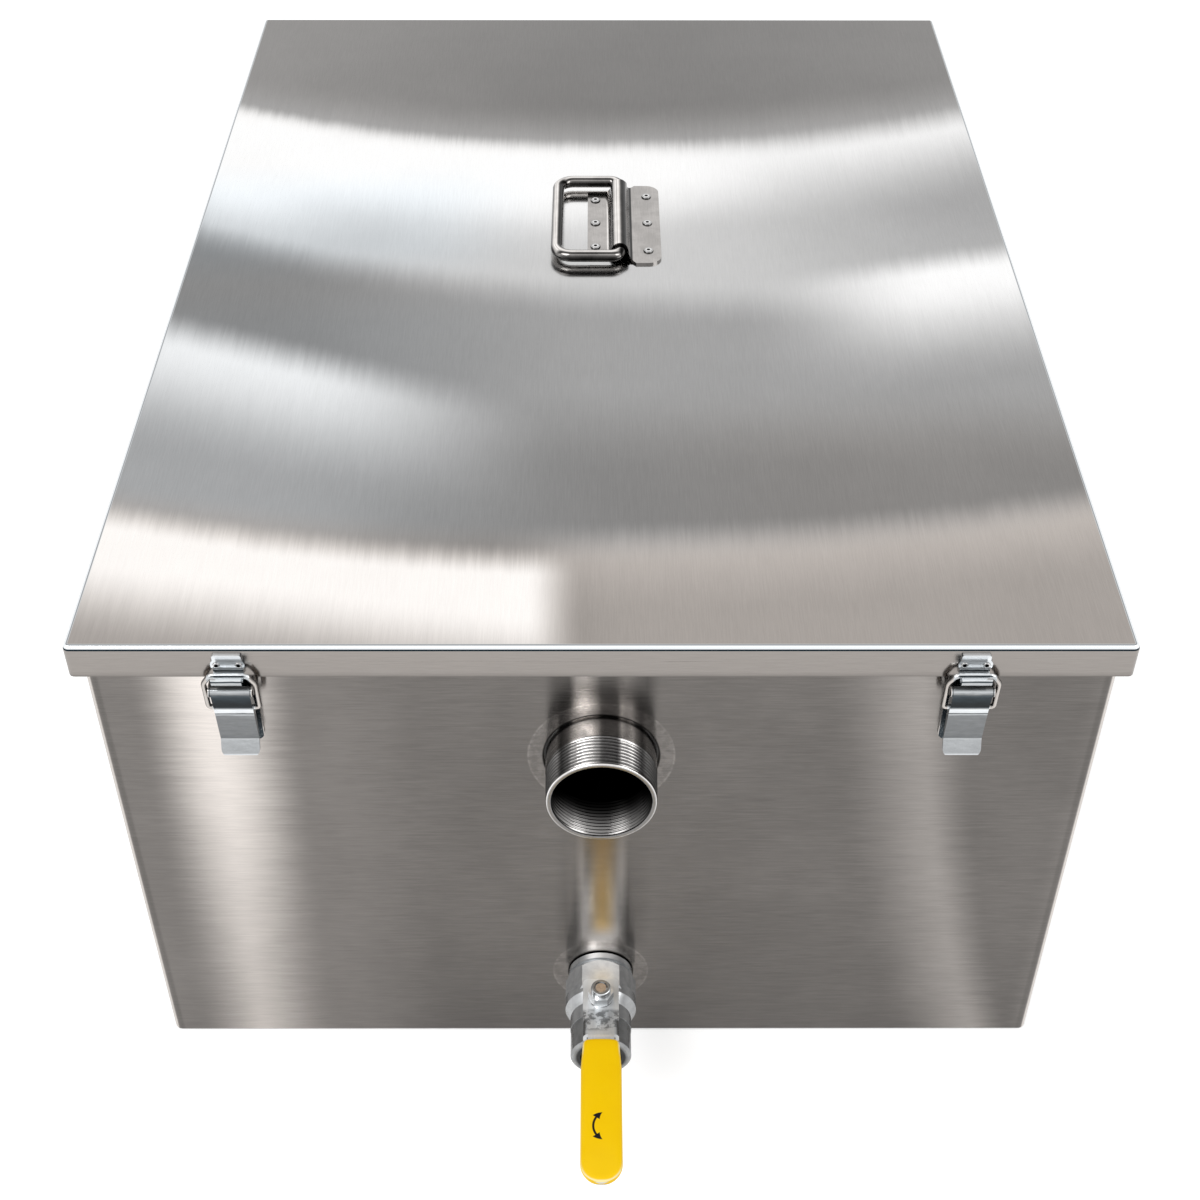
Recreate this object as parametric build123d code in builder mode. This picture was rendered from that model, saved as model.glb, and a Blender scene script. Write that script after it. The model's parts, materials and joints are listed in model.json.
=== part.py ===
from build123d import *
import os
from math import atan2, cos, degrees, hypot, radians, sin

# A floor-standing stainless steel grease trap. All sizes are in millimetres.
# The origin is the middle of the tank's base, +Z is up and the drain valve faces -Y.

# Tank
tank_width = 538.0
tank_depth = 748.0
tank_height = 330.5
wall = 1.5
wall_bend = 4.5
base_bend = 2.5
flange_width = 18.0

# Lid and gasket
lid_overhang = 6.0
lid_sheet = 1.5
lid_skirt = 20.4
lid_edge_bend = 3.0
lid_corner_bend = 3.5
gasket_height = 4.0
gasket_width = 13.0

# Pipe nipples, two inch pipe
pipe_radius = 30.15
pipe_wall = 3.0
pipe_standout = 34.0
thread_radius = 29.8
thread_length = 20.5
pipe_inside_length = 26.0
pipe_hole_gap = 1.2
weld_ring = 3.5
weld_thickness = 2.5
thread_edge = 0.8
outlet_from_rim = 80.5
inlet_from_rim = 65.5

# Outlet dip pipe
dip_gap = 0.1
dip_wall = 2.0
dip_bend = 52.0
dip_mouth_height = 85.0
dip_start = 4.0

# Strainer basket and its ledges
basket_breadth = 165.0
basket_drop = 105.0
basket_sheet = 1.2
basket_rim = 14.0
basket_corner = 12.0
basket_hole = 5.0
basket_holes_across = 9
basket_holes_deep = 3
basket_wall_gap = 14.0
basket_rim_gap = 18.5
basket_below_inlet = 36.0
ledge_width = 28.0
ledge_height = 18.0
ledge_sheet = 2.0
grip_rod = 3.0
grip_width = 90.0
grip_rise = 30.0
grip_bend = 10.0

# Baffles and their guides
baffle_sheet = 1.5
baffle_from_rim = 30.5
baffle_fold = 14.0
baffle_side_gap = 1.0
inlet_baffle_y = 130.0
outlet_baffle_y = -190.0
inlet_baffle_foot = 70.0
outlet_baffle_foot = 45.0
guide_sheet = 1.5
guide_reach = 12.0
guide_play = 0.6
finger_slot_length = 46.0
finger_slot_height = 20.0
finger_slot_drop = 28.0
finger_spacing = 180.0

# Lid handle
bracket_x = 13.2
bracket_y = 44.3
bracket_sheet = 1.5
left_flange = 10.8
right_flange = 17.0
right_flange_length = 104.0
hump_blend = 5.0
bracket_corner = 9.0
rod_radius = 4.0
rod_play = 0.25
rod_rest_gap = 0.3
bail_half_span = 50.2
bail_reach = 42.0
bail_hinge_bend = 6.5
bail_grip_bend = 10.5
hump_end_gap = 0.2
rivet_radius = 1.6
rivet_head = 3.4
rivet_dome = 1.1
rivet_eye = 1.0
rivet_tail = 2.6
left_rivet_spacing = 31.3
right_rivet_spacing = 36.5
left_rivet_inset = 5.3
right_rivet_inset = 8.6

# Drain valve, three quarter inch
drain_height = 61.0
drain_pipe_radius = 13.45
drain_pipe_bore = 10.8
drain_inside = 8.0
drain_weld_radius = 18.0
valve_gap = 0.4
valve_length = 62.1
ball_from_rear = 38.1
cap_rim_radius = 19.2
cap_rim_length = 4.4
hex_radius = 22.2
hex_length = 20.2
hex_cone_radius = 17.7
hex_cone_length = 5.8
collar_radius = 21.1
collar_back = 4.0
collar_length = 8.0
collar_slope = 5.7
collar_chamfer = 1.2
neck_radius = 17.8
band_radius = 18.1
band_from_rear = 35.6
band_length = 8.0
plug_radius = 16.4
ball_radius = 13.0
ball_bore = 8.5
ball_play = 0.08
seat_height = 3.5
seat_angle = 50.0
seat_foot = 1.5
seat_bore = 8.8
cavity_play = 0.3
outlet_thread_radius = 12.1
outlet_thread_length = 11.0
cap_bore_depth = 13.6
cap_edge = 0.8
boss_width = 20.0
boss_depth = 20.0
boss_top = 19.6
boss_corner = 3.0
stem_radius = 4.5
stem_play = 0.05
stem_thread_radius = 3.9
stem_flat = 3.2
stem_edge = 0.7
tang_width = 4.8
tang_depth = 3.8
slot_play = 0.1
gland_radius = 6.6
packing_height = 2.2
packing_depth = 4.0
gland_hex = 7.9
gland_hex_height = 2.6

# Valve lever and its vinyl sleeve
lever_sheet = 2.5
lever_gap = 0.4
lever_width = 21.0
lever_tail = 13.5
lever_first_bend = 8.5
lever_rise = 15.5
lever_slope = 28.0
lever_reach = 129.3
lever_bend_radius = 5.0
channel_width = 20.4
channel_flat = 15.0
channel_start = 11.9
channel_end = 31.6
channel_depth = 3.0
channel_sheet = 2.0
channel_edge = 2.7
shoulder_round = 3.0
sleeve_wall = 1.5
sleeve_start = 39.7
sleeve_corner = 3.0
grip_neck_width = 17.3
grip_neck_length = 18.5
grip_blade_width = 19.8
washer_radius = 7.1
washer_height = 1.0
nut_flats = 13.0
nut_hex_height = 5.4
nut_collar_radius = 5.7
nut_height = 9.4
nut_edge = 0.9
stem_below_nut = 0.6

# Toggle latches. Places are given outwards from the tank's face and down from the lid's top.
latch_from_lid_end = 83.5
latch_sheet = 1.2
keeper_sheet = 1.5
keeper_width = 17.6
keeper_waist = 7.8
keeper_corner = 3.8
keeper_tab = 15.0
keeper_tab_corner = 1.5
keeper_top = 4.2
hook_width = 15.6
hook_groove = 7.2
hook_bend = 2.0
hook_lip_down = 13.4
bar_from_keeper = 3.0
bar_down = 15.6
bar_seat_gap = 0.3
loop_wire = 1.4
loop_half_width = 13.3
loop_shoulder = 5.8
loop_top_half = 9.6
loop_bend = 2.2
loop_shoulder_bend = 4.5
pivot_out = 10.25
pivot_down = 27.0
loop_hinge_out = 8.25
loop_hinge_down = 40.0
hinge_fit = 0.1
latch_pin_radius = 1.5
lever_half_width = 10.2
lever_cheek = 1.0
knuckle_wall = 1.2
cheek_radius = 3.3
cheek_end_gap = 3.0
blade_top_out = 10.3
blade_bend_out = 8.0
blade_bend_down = 63.4
blade_tip_out = 12.2
blade_tip_down = 72.0
blade_bend_radius = 2.5
tab_corner = 4.0
ear_gap = 0.3
ear_sheet = 1.0
ear_radius = 3.0
ear_top_down = 23.6
ear_foot_down = 33.2
base_foot_down = 71.5
base_corner = 5.0
keeper_rivet_x = 5.7
keeper_rivet_down = 10.9
keeper_rivet_radius = 1.3
keeper_rivet_head = 1.9
keeper_rivet_dome = 0.6
keeper_rivet_eye = 0.95

# Derived places
half_width = tank_width / 2
half_depth = tank_depth / 2
lid_width = tank_width + 2 * lid_overhang
lid_depth = tank_depth + 2 * lid_overhang
lid_underside = tank_height + gasket_height
lid_top = lid_underside + lid_sheet
outlet_height = tank_height - outlet_from_rim
inlet_height = tank_height - inlet_from_rim
baffle_top = tank_height - baffle_from_rim
skirt_foot = lid_top - lid_skirt
basket_length = tank_width - 2 * (wall + basket_rim_gap + basket_rim)
latch_x = lid_width / 2 - latch_from_lid_end
pipe_bore = pipe_radius - pipe_wall
inner_face = half_depth - wall
FRONT = -1
REAR = 1

os.makedirs("parts", exist_ok=True)


def save(part, name):
    part.label = name
    export_step(part, f"parts/{name}.step")


def side_plane(x, face_y, side):
    # Sketch plane across the tank: local x points out of the face, local y is up
    return Plane(origin=(x, face_y, 0), x_dir=(0, side, 0), z_dir=(side, 0, 0))


def axis_plane(x, y, z, side):
    # Sketch plane whose normal points out of the front (-1) or the rear (+1)
    return Plane(origin=(x, y, z), x_dir=(-side, 0, 0), z_dir=(0, side, 0))


# Rivet places shared by the holes and the rivets
hump_outer = rod_radius + rod_play + bracket_sheet
hump_foot = hump_outer + hump_blend
left_edge = bracket_x - hump_foot - left_flange
right_edge = bracket_x + hump_foot + right_flange
handle_rivets = [(left_edge + left_rivet_inset, bracket_y + k * left_rivet_spacing) for k in (-1, 0, 1)]
handle_rivets += [(right_edge - right_rivet_inset, bracket_y + k * right_rivet_spacing) for k in (-1, 0, 1)]
latches = {
    "front_left": (-latch_x, FRONT),
    "front_right": (latch_x, FRONT),
    "rear_left": (-latch_x, REAR),
    "rear_right": (latch_x, REAR),
}
keeper_rivet_places = [
    (x + k * keeper_rivet_x, side) for x, side in latches.values() for k in (-1, 1)
]
keeper_rivet_z = lid_top - keeper_rivet_down

# Tank: a welded box with its rim folded inwards to carry the gasket
with BuildPart() as tank:
    with BuildSketch():
        RectangleRounded(tank_width, tank_depth, wall_bend)
    extrude(amount=tank_height)
    fillet(tank.faces().sort_by(Axis.Z)[0].edges(), base_bend)
    with BuildSketch(Plane.XY.offset(wall)):
        RectangleRounded(tank_width - 2 * wall, tank_depth - 2 * wall, wall_bend - wall)
    extrude(amount=tank_height - 2 * wall, mode=Mode.SUBTRACT)
    with BuildSketch(Plane.XY.offset(wall)):
        RectangleRounded(tank_width - 2 * flange_width, tank_depth - 2 * flange_width, wall_bend)
    extrude(amount=tank_height, mode=Mode.SUBTRACT)
    with BuildSketch(axis_plane(0, -inner_face, outlet_height, FRONT)):
        Circle(pipe_radius + pipe_hole_gap)
    extrude(amount=wall, mode=Mode.SUBTRACT)
    with BuildSketch(axis_plane(0, inner_face, inlet_height, REAR)):
        Circle(pipe_radius + pipe_hole_gap)
    extrude(amount=wall, mode=Mode.SUBTRACT)
    with BuildSketch(axis_plane(0, -inner_face, drain_height, FRONT)):
        Circle(drain_pipe_radius)
    extrude(amount=wall, mode=Mode.SUBTRACT)
save(tank.part, "tank")

# Lid: a shallow pan whose skirt hangs over the tank
with BuildPart() as lid:
    with BuildSketch(Plane.XY.offset(skirt_foot)):
        RectangleRounded(lid_width, lid_depth, lid_corner_bend)
    extrude(amount=lid_skirt)
    fillet(lid.faces().sort_by(Axis.Z)[-1].edges(), lid_edge_bend)
    offset(amount=-lid_sheet, openings=lid.faces().sort_by(Axis.Z)[0])
    with BuildSketch(Plane.XY.offset(lid_underside)):
        with Locations(*handle_rivets):
            Circle(rivet_radius)
    extrude(amount=lid_sheet, mode=Mode.SUBTRACT)
    for rivet_x, side in keeper_rivet_places:
        with BuildSketch(axis_plane(rivet_x, side * (lid_depth / 2 - lid_sheet), keeper_rivet_z, side)):
            Circle(keeper_rivet_radius)
        extrude(amount=lid_sheet, mode=Mode.SUBTRACT)
save(lid.part, "lid")

# Gasket: a flat rubber frame on the tank's rim
gasket_inset = (flange_width - gasket_width) / 2
with BuildPart() as gasket:
    with BuildSketch(Plane.XY.offset(tank_height)):
        RectangleRounded(tank_width - 2 * gasket_inset, tank_depth - 2 * gasket_inset, wall_bend)
        gasket_hole = gasket_inset + gasket_width
        RectangleRounded(
            tank_width - 2 * gasket_hole, tank_depth - 2 * gasket_hole, wall_bend, mode=Mode.SUBTRACT
        )
    extrude(amount=gasket_height)
save(gasket.part, "lid_gasket")


# Pipe nipples: threaded outside, welded to the wall from within
def pipe_nipple(height, side):
    face_y = side * half_depth
    with BuildPart() as nipple:
        with BuildSketch(Plane(origin=(0, face_y, height), x_dir=(1, 0, 0), z_dir=(0, 0, 1))):
            with BuildLine():
                Polyline(
                    (pipe_bore, -side * (wall + pipe_inside_length)),
                    (pipe_bore, side * pipe_standout),
                    (thread_radius - thread_edge, side * pipe_standout),
                    (thread_radius, side * (pipe_standout - thread_edge)),
                    (thread_radius, side * (pipe_standout - thread_length)),
                    (pipe_radius, side * (pipe_standout - thread_length - thread_edge)),
                    (pipe_radius, -side * wall),
                    (pipe_radius + weld_ring, -side * wall),
                    (pipe_radius, -side * (wall + weld_thickness)),
                    (pipe_radius, -side * (wall + pipe_inside_length)),
                    close=True,
                )
            make_face()
        revolve(axis=Axis((0, face_y, height), (0, 1, 0)))
    return nipple.part


save(pipe_nipple(outlet_height, FRONT), "outlet_nipple")
save(pipe_nipple(inlet_height, REAR), "inlet_nipple")

# Outlet dip pipe: slips over the outlet nipple and draws from below the grease
dip_outer = pipe_radius + dip_gap + dip_wall
dip_y = -inner_face + dip_start
dip_turn_y = dip_y + pipe_inside_length + dip_bend
with BuildPart() as dip_pipe:
    with BuildLine(Plane.YZ) as dip_path:
        FilletPolyline(
            (dip_y, outlet_height), (dip_turn_y, outlet_height), (dip_turn_y, dip_mouth_height), radius=dip_bend
        )
    with BuildSketch(Plane.XZ.offset(-dip_y)):
        with Locations((0, outlet_height)):
            Circle(dip_outer)
            Circle(dip_outer - dip_wall, mode=Mode.SUBTRACT)
    sweep()
save(dip_pipe.part, "outlet_dip_pipe")

# Strainer basket: an open pan of perforated sheet, hung by its rim below the inlet
basket_top = inlet_height - basket_below_inlet
basket_y = inner_face - basket_wall_gap - basket_breadth / 2
basket_floor = basket_top - basket_drop
with BuildPart() as basket:
    with BuildSketch(Plane.XY.offset(basket_floor)):
        with Locations((0, basket_y)):
            RectangleRounded(basket_length, basket_breadth, basket_corner)
    extrude(amount=basket_drop)
    with BuildSketch(Plane.XY.offset(basket_floor + basket_sheet)):
        with Locations((0, basket_y)):
            RectangleRounded(
                basket_length - 2 * basket_sheet,
                basket_breadth - 2 * basket_sheet,
                basket_corner - basket_sheet,
            )
    extrude(amount=basket_drop, mode=Mode.SUBTRACT)
    with BuildSketch(Plane.XY.offset(basket_top - basket_sheet)):
        with Locations((0, basket_y)):
            Rectangle(basket_length + 2 * basket_rim, basket_breadth - 2 * basket_corner)
            RectangleRounded(
                basket_length - 2 * basket_sheet,
                basket_breadth - 2 * basket_sheet,
                basket_corner - basket_sheet,
                mode=Mode.SUBTRACT,
            )
    extrude(amount=basket_sheet)
    with BuildSketch(Plane.XY.offset(basket_floor)):
        with Locations((0, basket_y)):
            with GridLocations(
                basket_length / basket_holes_across, basket_breadth / basket_holes_deep,
                basket_holes_across, basket_holes_deep,
            ):
                Circle(basket_hole)
    extrude(amount=basket_sheet, mode=Mode.SUBTRACT)
save(basket.part, "strainer_basket")

# Ledges: two angles welded to the side walls that carry the basket's rim
ledge_top = basket_top - basket_sheet
with BuildPart() as ledges:
    for side in (-1, 1):
        wall_x = side * (half_width - wall)
        with BuildSketch(Plane.XZ.offset(-basket_y)):
            with BuildLine():
                Polyline(
                    (wall_x, ledge_top),
                    (wall_x - side * ledge_width, ledge_top),
                    (wall_x - side * ledge_width, ledge_top - ledge_sheet),
                    (wall_x - side * ledge_sheet, ledge_top - ledge_sheet),
                    (wall_x - side * ledge_sheet, ledge_top - ledge_height),
                    (wall_x, ledge_top - ledge_height),
                    close=True,
                )
            make_face()
        extrude(amount=basket_breadth / 2, both=True)
save(ledges.part, "basket_ledges")

# Basket grips: two rod bows welded on the rim to lift the basket out
grip_x = basket_length / 2 + basket_rim / 2
with BuildPart() as grips:
    for side in (-1, 1):
        with BuildLine(Plane.YZ.offset(side * grip_x)) as bow:
            FilletPolyline(
                (basket_y - grip_width / 2, basket_top),
                (basket_y - grip_width / 2, basket_top + grip_rise),
                (basket_y + grip_width / 2, basket_top + grip_rise),
                (basket_y + grip_width / 2, basket_top),
                radius=grip_bend,
            )
        with BuildSketch(Plane.XY.offset(basket_top)):
            with Locations((side * grip_x, basket_y - grip_width / 2)):
                Circle(grip_rod)
        sweep(path=bow.line)
save(grips.part, "basket_grips")


# Baffles: plates with a folded top and finger holes, which slide down between guides
def baffle_plate(y, foot):
    width = tank_width - 2 * wall - 2 * guide_sheet - 2 * baffle_side_gap
    with BuildPart() as baffle:
        with BuildSketch(Plane.XZ.offset(-y)):
            with Locations((0, (foot + baffle_top) / 2)):
                Rectangle(width, baffle_top - foot)
            finger_z = baffle_top - finger_slot_drop
            with Locations((-finger_spacing / 2, finger_z), (finger_spacing / 2, finger_z)):
                SlotOverall(finger_slot_length, finger_slot_height, mode=Mode.SUBTRACT)
        extrude(amount=baffle_sheet / 2, both=True)
        fold_width = width - 4 * guide_reach
        with BuildSketch(Plane.XY.offset(baffle_top - baffle_sheet)):
            with Locations((0, y + baffle_fold / 2)):
                Rectangle(fold_width, baffle_fold)
        extrude(amount=baffle_sheet)
    return baffle.part


save(baffle_plate(inlet_baffle_y, inlet_baffle_foot), "inlet_baffle")
save(baffle_plate(outlet_baffle_y, outlet_baffle_foot), "outlet_baffle")


# Guides: channels welded to the side walls, closed at the foot so that the baffle stands in them
def baffle_guides(y, foot):
    slot_half = baffle_sheet / 2 + guide_play
    with BuildPart() as guides:
        for side in (-1, 1):
            wall_x = side * (half_width - wall)
            with BuildSketch(Plane.XY.offset(foot - guide_sheet)):
                with Locations((wall_x - side * guide_reach / 2, y)):
                    Rectangle(guide_reach, 2 * (slot_half + guide_sheet))
            extrude(amount=baffle_top - foot + guide_sheet)
            with BuildSketch(Plane.XY.offset(foot)):
                with Locations((wall_x - side * (guide_sheet + guide_reach / 2), y)):
                    Rectangle(guide_reach, 2 * slot_half)
            extrude(amount=baffle_top - foot, mode=Mode.SUBTRACT)
    return guides.part


save(baffle_guides(inlet_baffle_y, inlet_baffle_foot), "inlet_baffle_guides")
save(baffle_guides(outlet_baffle_y, outlet_baffle_foot), "outlet_baffle_guides")

# Handle bracket: one pressed strip, humped over the bail's rod
rod_z = lid_top + bracket_sheet + rod_rest_gap + rod_radius
hump_inner = rod_radius + rod_play
hump_length = 2 * (bail_half_span - bail_hinge_bend - hump_end_gap)
sheet_mid = bracket_sheet / 2
hump_mid = hump_inner + sheet_mid
with BuildPart() as bracket:
    with BuildSketch(Plane.XZ.offset(-bracket_y)):
        with BuildLine():
            strip_z = lid_top + sheet_mid
            left_foot = Line((left_edge, strip_z), (bracket_x - hump_mid - hump_blend, strip_z))
            left_blend = JernArc(left_foot @ 1, (1, 0), hump_blend, 90)
            left_leg = Line(left_blend @ 1, (bracket_x - hump_mid, rod_z))
            crown = ThreePointArc(left_leg @ 1, (bracket_x, rod_z + hump_mid), (bracket_x + hump_mid, rod_z))
            right_leg = Line(crown @ 1, (bracket_x + hump_mid, strip_z + hump_blend))
            right_blend = JernArc(right_leg @ 1, (0, -1), hump_blend, 90)
            Line(right_blend @ 1, (right_edge, strip_z))
        trace(line_width=bracket_sheet)
    extrude(amount=right_flange_length / 2, both=True)
    for end in (-1, 1):
        with BuildSketch(Plane.XY.offset(lid_top)):
            with BuildLine():
                flange_end = bracket_y + end * right_flange_length / 2
                hump_end = bracket_y + end * hump_length / 2
                Polyline(
                    (bracket_x + hump_foot, flange_end),
                    (bracket_x + hump_inner, hump_end),
                    (left_edge - left_flange, hump_end),
                    (left_edge - left_flange, flange_end),
                    close=True,
                )
            make_face()
        extrude(amount=rod_z, mode=Mode.SUBTRACT)
    fillet(
        bracket.edges().filter_by(Axis.Z).filter_by_position(Axis.X, right_edge - 0.1, right_edge + 0.1),
        bracket_corner,
    )
    with BuildSketch(Plane.XY.offset(lid_top)):
        with Locations(*handle_rivets):
            Circle(rivet_radius)
    extrude(amount=bracket_sheet, mode=Mode.SUBTRACT)
save(bracket.part, "handle_bracket")

# Lid handle: a closed bow of round rod that turns inside the bracket's hump
with BuildPart() as bail:
    grip_end = bracket_x - bail_reach
    with BuildLine(Plane.XY.offset(rod_z)) as bow:
        FilletPolyline(
            (bracket_x, bracket_y - bail_half_span),
            (grip_end, bracket_y - bail_half_span),
            (grip_end, bracket_y + bail_half_span),
            (bracket_x, bracket_y + bail_half_span),
            radius=(bail_hinge_bend, bail_grip_bend, bail_grip_bend, bail_hinge_bend),
            close=True,
        )
    with BuildSketch(Plane(origin=bow.line @ 0, z_dir=bow.line % 0)):
        Circle(rod_radius)
    sweep(path=bow.line)
save(bail.part, "lid_handle")


# Rivets: domed head with the eye left by its mandrel, a shank and a set tail
def rivet_solid(location_plane, shank, head, dome, eye, grip, tail):
    with BuildPart() as rivet:
        with BuildSketch(location_plane):
            Circle(shank)
        extrude(amount=-grip)
        with BuildSketch(location_plane):
            Circle(head)
        extrude(amount=dome)
        fillet(rivet.faces().sort_by(Axis(location_plane.origin, location_plane.z_dir))[-1].edges(), dome * 0.8)
        with BuildSketch(location_plane.offset(dome)):
            Circle(eye)
        extrude(amount=-dome * 2, mode=Mode.SUBTRACT)
        with BuildSketch(location_plane.offset(-grip)):
            Circle(tail)
        extrude(amount=-dome)
    return rivet.part


handle_rivet_solids = [
    rivet_solid(
        Plane(origin=(x, y, lid_top + bracket_sheet)),
        rivet_radius, rivet_head, rivet_dome, rivet_eye, bracket_sheet + lid_sheet, rivet_tail,
    )
    for x, y in handle_rivets
]
save(Compound(children=handle_rivet_solids), "handle_rivets")

# Drain nipple: a short pipe welded low in the front wall
wall_y = -half_depth
valve_rear = wall_y - valve_gap
drain_nipple_end = valve_rear - cap_bore_depth
with BuildPart() as drain_nipple:
    with BuildSketch(Plane.XY.offset(drain_height)):
        with BuildLine():
            Polyline(
                (drain_pipe_bore, -inner_face + drain_inside),
                (drain_pipe_bore, drain_nipple_end),
                (drain_pipe_radius, drain_nipple_end),
                (drain_pipe_radius, -inner_face),
                (drain_weld_radius, -inner_face),
                (drain_pipe_radius, -inner_face + weld_thickness),
                (drain_pipe_radius, -inner_face + drain_inside),
                close=True,
            )
        make_face()
    revolve(axis=Axis((0, 0, drain_height), (0, 1, 0)))
save(drain_nipple.part, "drain_nipple")

# Drain valve: end cap, body, ball, seats, stem and gland
ball_y = valve_rear - ball_from_rear
valve_front = valve_rear - valve_length
seat_far = ball_radius * cos(radians(seat_angle)) + seat_height
cavity = ball_radius + cavity_play
cap_front = ball_y + seat_far
seat_front = ball_y - seat_far
rear_plane = axis_plane(0, valve_rear, drain_height, FRONT)
with BuildPart() as end_cap:
    with BuildSketch(rear_plane):
        Circle(cap_rim_radius)
    extrude(amount=cap_rim_length)
    chamfer(end_cap.edges().group_by(Axis.Y)[-1], cap_edge)
    with BuildSketch(rear_plane.offset(cap_rim_length)):
        Circle(plug_radius)
    extrude(amount=valve_rear - cap_rim_length - cap_front)
    with BuildSketch(rear_plane):
        Circle(drain_pipe_radius)
    extrude(amount=cap_bore_depth, mode=Mode.SUBTRACT)
    with BuildSketch(rear_plane):
        Circle(seat_bore)
    extrude(amount=valve_length, mode=Mode.SUBTRACT)
save(end_cap.part, "valve_end_cap")

# The body is a hexagon whose ends are turned, then a round collar and a neck with a raised band
front_plane = axis_plane(0, valve_front, drain_height, FRONT)
boss_z = drain_height + boss_top
valve_axis = Axis((0, 0, drain_height), (0, 1, 0))
joint_y = valve_rear - cap_rim_length
hex_front = joint_y - hex_length
collar_rear = hex_front + collar_back
collar_front = collar_rear - collar_length
neck_rear = collar_front - collar_slope
band_rear = valve_rear - band_from_rear
with BuildPart() as valve_body:
    with BuildSketch(Plane.XY.offset(drain_height)):
        with BuildLine():
            Polyline(
                (0, joint_y),
                (hex_cone_radius, joint_y),
                (hex_radius, joint_y - hex_cone_length),
                (hex_radius, hex_front),
                (collar_radius, hex_front - collar_chamfer),
                (0, hex_front - collar_chamfer),
                close=True,
            )
        make_face()
    revolve(axis=valve_axis)
    with BuildSketch(rear_plane):
        RegularPolygon(hex_radius, 6, rotation=0)
        Rectangle(2 * collar_radius, 2 * hex_radius, mode=Mode.INTERSECT)
    extrude(amount=valve_length, mode=Mode.INTERSECT)
    with BuildSketch(Plane.XY.offset(drain_height)):
        with BuildLine():
            Polyline(
                (0, collar_rear),
                (collar_radius - collar_chamfer, collar_rear),
                (collar_radius, collar_rear - collar_chamfer),
                (collar_radius, collar_front),
                (neck_radius, neck_rear),
                (neck_radius, band_rear),
                (band_radius, band_rear),
                (band_radius, band_rear - band_length),
                (neck_radius, band_rear - band_length),
                (neck_radius, valve_front + collar_chamfer),
                (neck_radius - collar_chamfer, valve_front),
                (0, valve_front),
                close=True,
            )
        make_face()
    revolve(axis=valve_axis)
    with BuildSketch(Plane.XY.offset(drain_height)):
        with Locations((0, ball_y)):
            RectangleRounded(boss_width, boss_depth, boss_corner)
    extrude(amount=boss_top)
    with BuildSketch(rear_plane.offset(cap_rim_length)):
        Circle(plug_radius)
    extrude(amount=valve_rear - cap_rim_length - cap_front, mode=Mode.SUBTRACT)
    with BuildSketch(rear_plane.offset(cap_rim_length)):
        Circle(cavity)
    extrude(amount=valve_rear - cap_rim_length - seat_front, mode=Mode.SUBTRACT)
    with BuildSketch(front_plane):
        Circle(outlet_thread_radius)
    extrude(amount=-outlet_thread_length, mode=Mode.SUBTRACT)
    with BuildSketch(front_plane):
        Circle(seat_bore)
    extrude(amount=-valve_length + ball_from_rear, mode=Mode.SUBTRACT)
    with BuildSketch(Plane.XY.offset(drain_height)):
        with Locations((0, ball_y)):
            Circle(stem_radius + stem_play)
    extrude(amount=boss_top, mode=Mode.SUBTRACT)
    with BuildSketch(Plane.XY.offset(boss_z)):
        with Locations((0, ball_y)):
            Circle(gland_radius)
    extrude(amount=-packing_depth, mode=Mode.SUBTRACT)
save(valve_body.part, "valve_body")

with BuildPart() as ball:
    with Locations((0, ball_y, drain_height)):
        Sphere(ball_radius)
    with BuildSketch(rear_plane):
        Circle(ball_bore)
    extrude(amount=valve_length, mode=Mode.SUBTRACT)
    with BuildSketch(Plane.XY.offset(drain_height + ball_radius - tang_depth - slot_play)):
        with Locations((0, ball_y)):
            Rectangle(tang_width + 2 * slot_play, 2 * ball_radius)
    extrude(amount=2 * tang_depth, mode=Mode.SUBTRACT)
save(ball.part, "valve_ball")

with BuildPart() as seats:
    for near, far in ((cap_front, -1), (seat_front, 1)):
        with BuildSketch(axis_plane(0, near, drain_height, far)):
            Circle(cavity)
            Circle(seat_bore, mode=Mode.SUBTRACT)
        extrude(amount=seat_height + seat_foot)
    with Locations((0, ball_y, drain_height)):
        Sphere(ball_radius + ball_play, mode=Mode.SUBTRACT)
save(seats.part, "valve_seats")

stem_foot = drain_height + ball_radius - tang_depth
lever_z = boss_z + gland_hex_height + lever_gap
lever_top = lever_z + lever_sheet
nut_z = lever_top + washer_height
stem_end = nut_z + nut_height - stem_below_nut
with BuildPart() as stem:
    with BuildSketch(Plane.XY.offset(stem_foot)):
        with Locations((0, ball_y)):
            Circle(stem_radius)
            Rectangle(tang_width, 2 * stem_radius, mode=Mode.INTERSECT)
    extrude(amount=tang_depth)
    with BuildSketch(Plane.XY.offset(stem_foot + tang_depth)):
        with Locations((0, ball_y)):
            Circle(stem_radius)
    extrude(amount=lever_z - stem_foot - tang_depth)
    with BuildSketch(Plane.XY.offset(lever_z)):
        with Locations((0, ball_y)):
            Circle(stem_thread_radius)
            Rectangle(2 * stem_flat, 2 * stem_radius, mode=Mode.INTERSECT)
    extrude(amount=lever_sheet)
    with BuildSketch(Plane.XY.offset(lever_top)):
        with Locations((0, ball_y)):
            Circle(stem_thread_radius)
    extrude(amount=stem_end - lever_top)
    chamfer(stem.edges().group_by(Axis.Z)[-1], stem_edge)
save(stem.part, "valve_stem")

packing_z = boss_z - packing_depth
with BuildPart() as packing:
    with BuildSketch(Plane.XY.offset(packing_z)):
        with Locations((0, ball_y)):
            Circle(gland_radius)
            Circle(stem_radius + stem_play, mode=Mode.SUBTRACT)
    extrude(amount=packing_height)
save(packing.part, "stem_packing")

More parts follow.
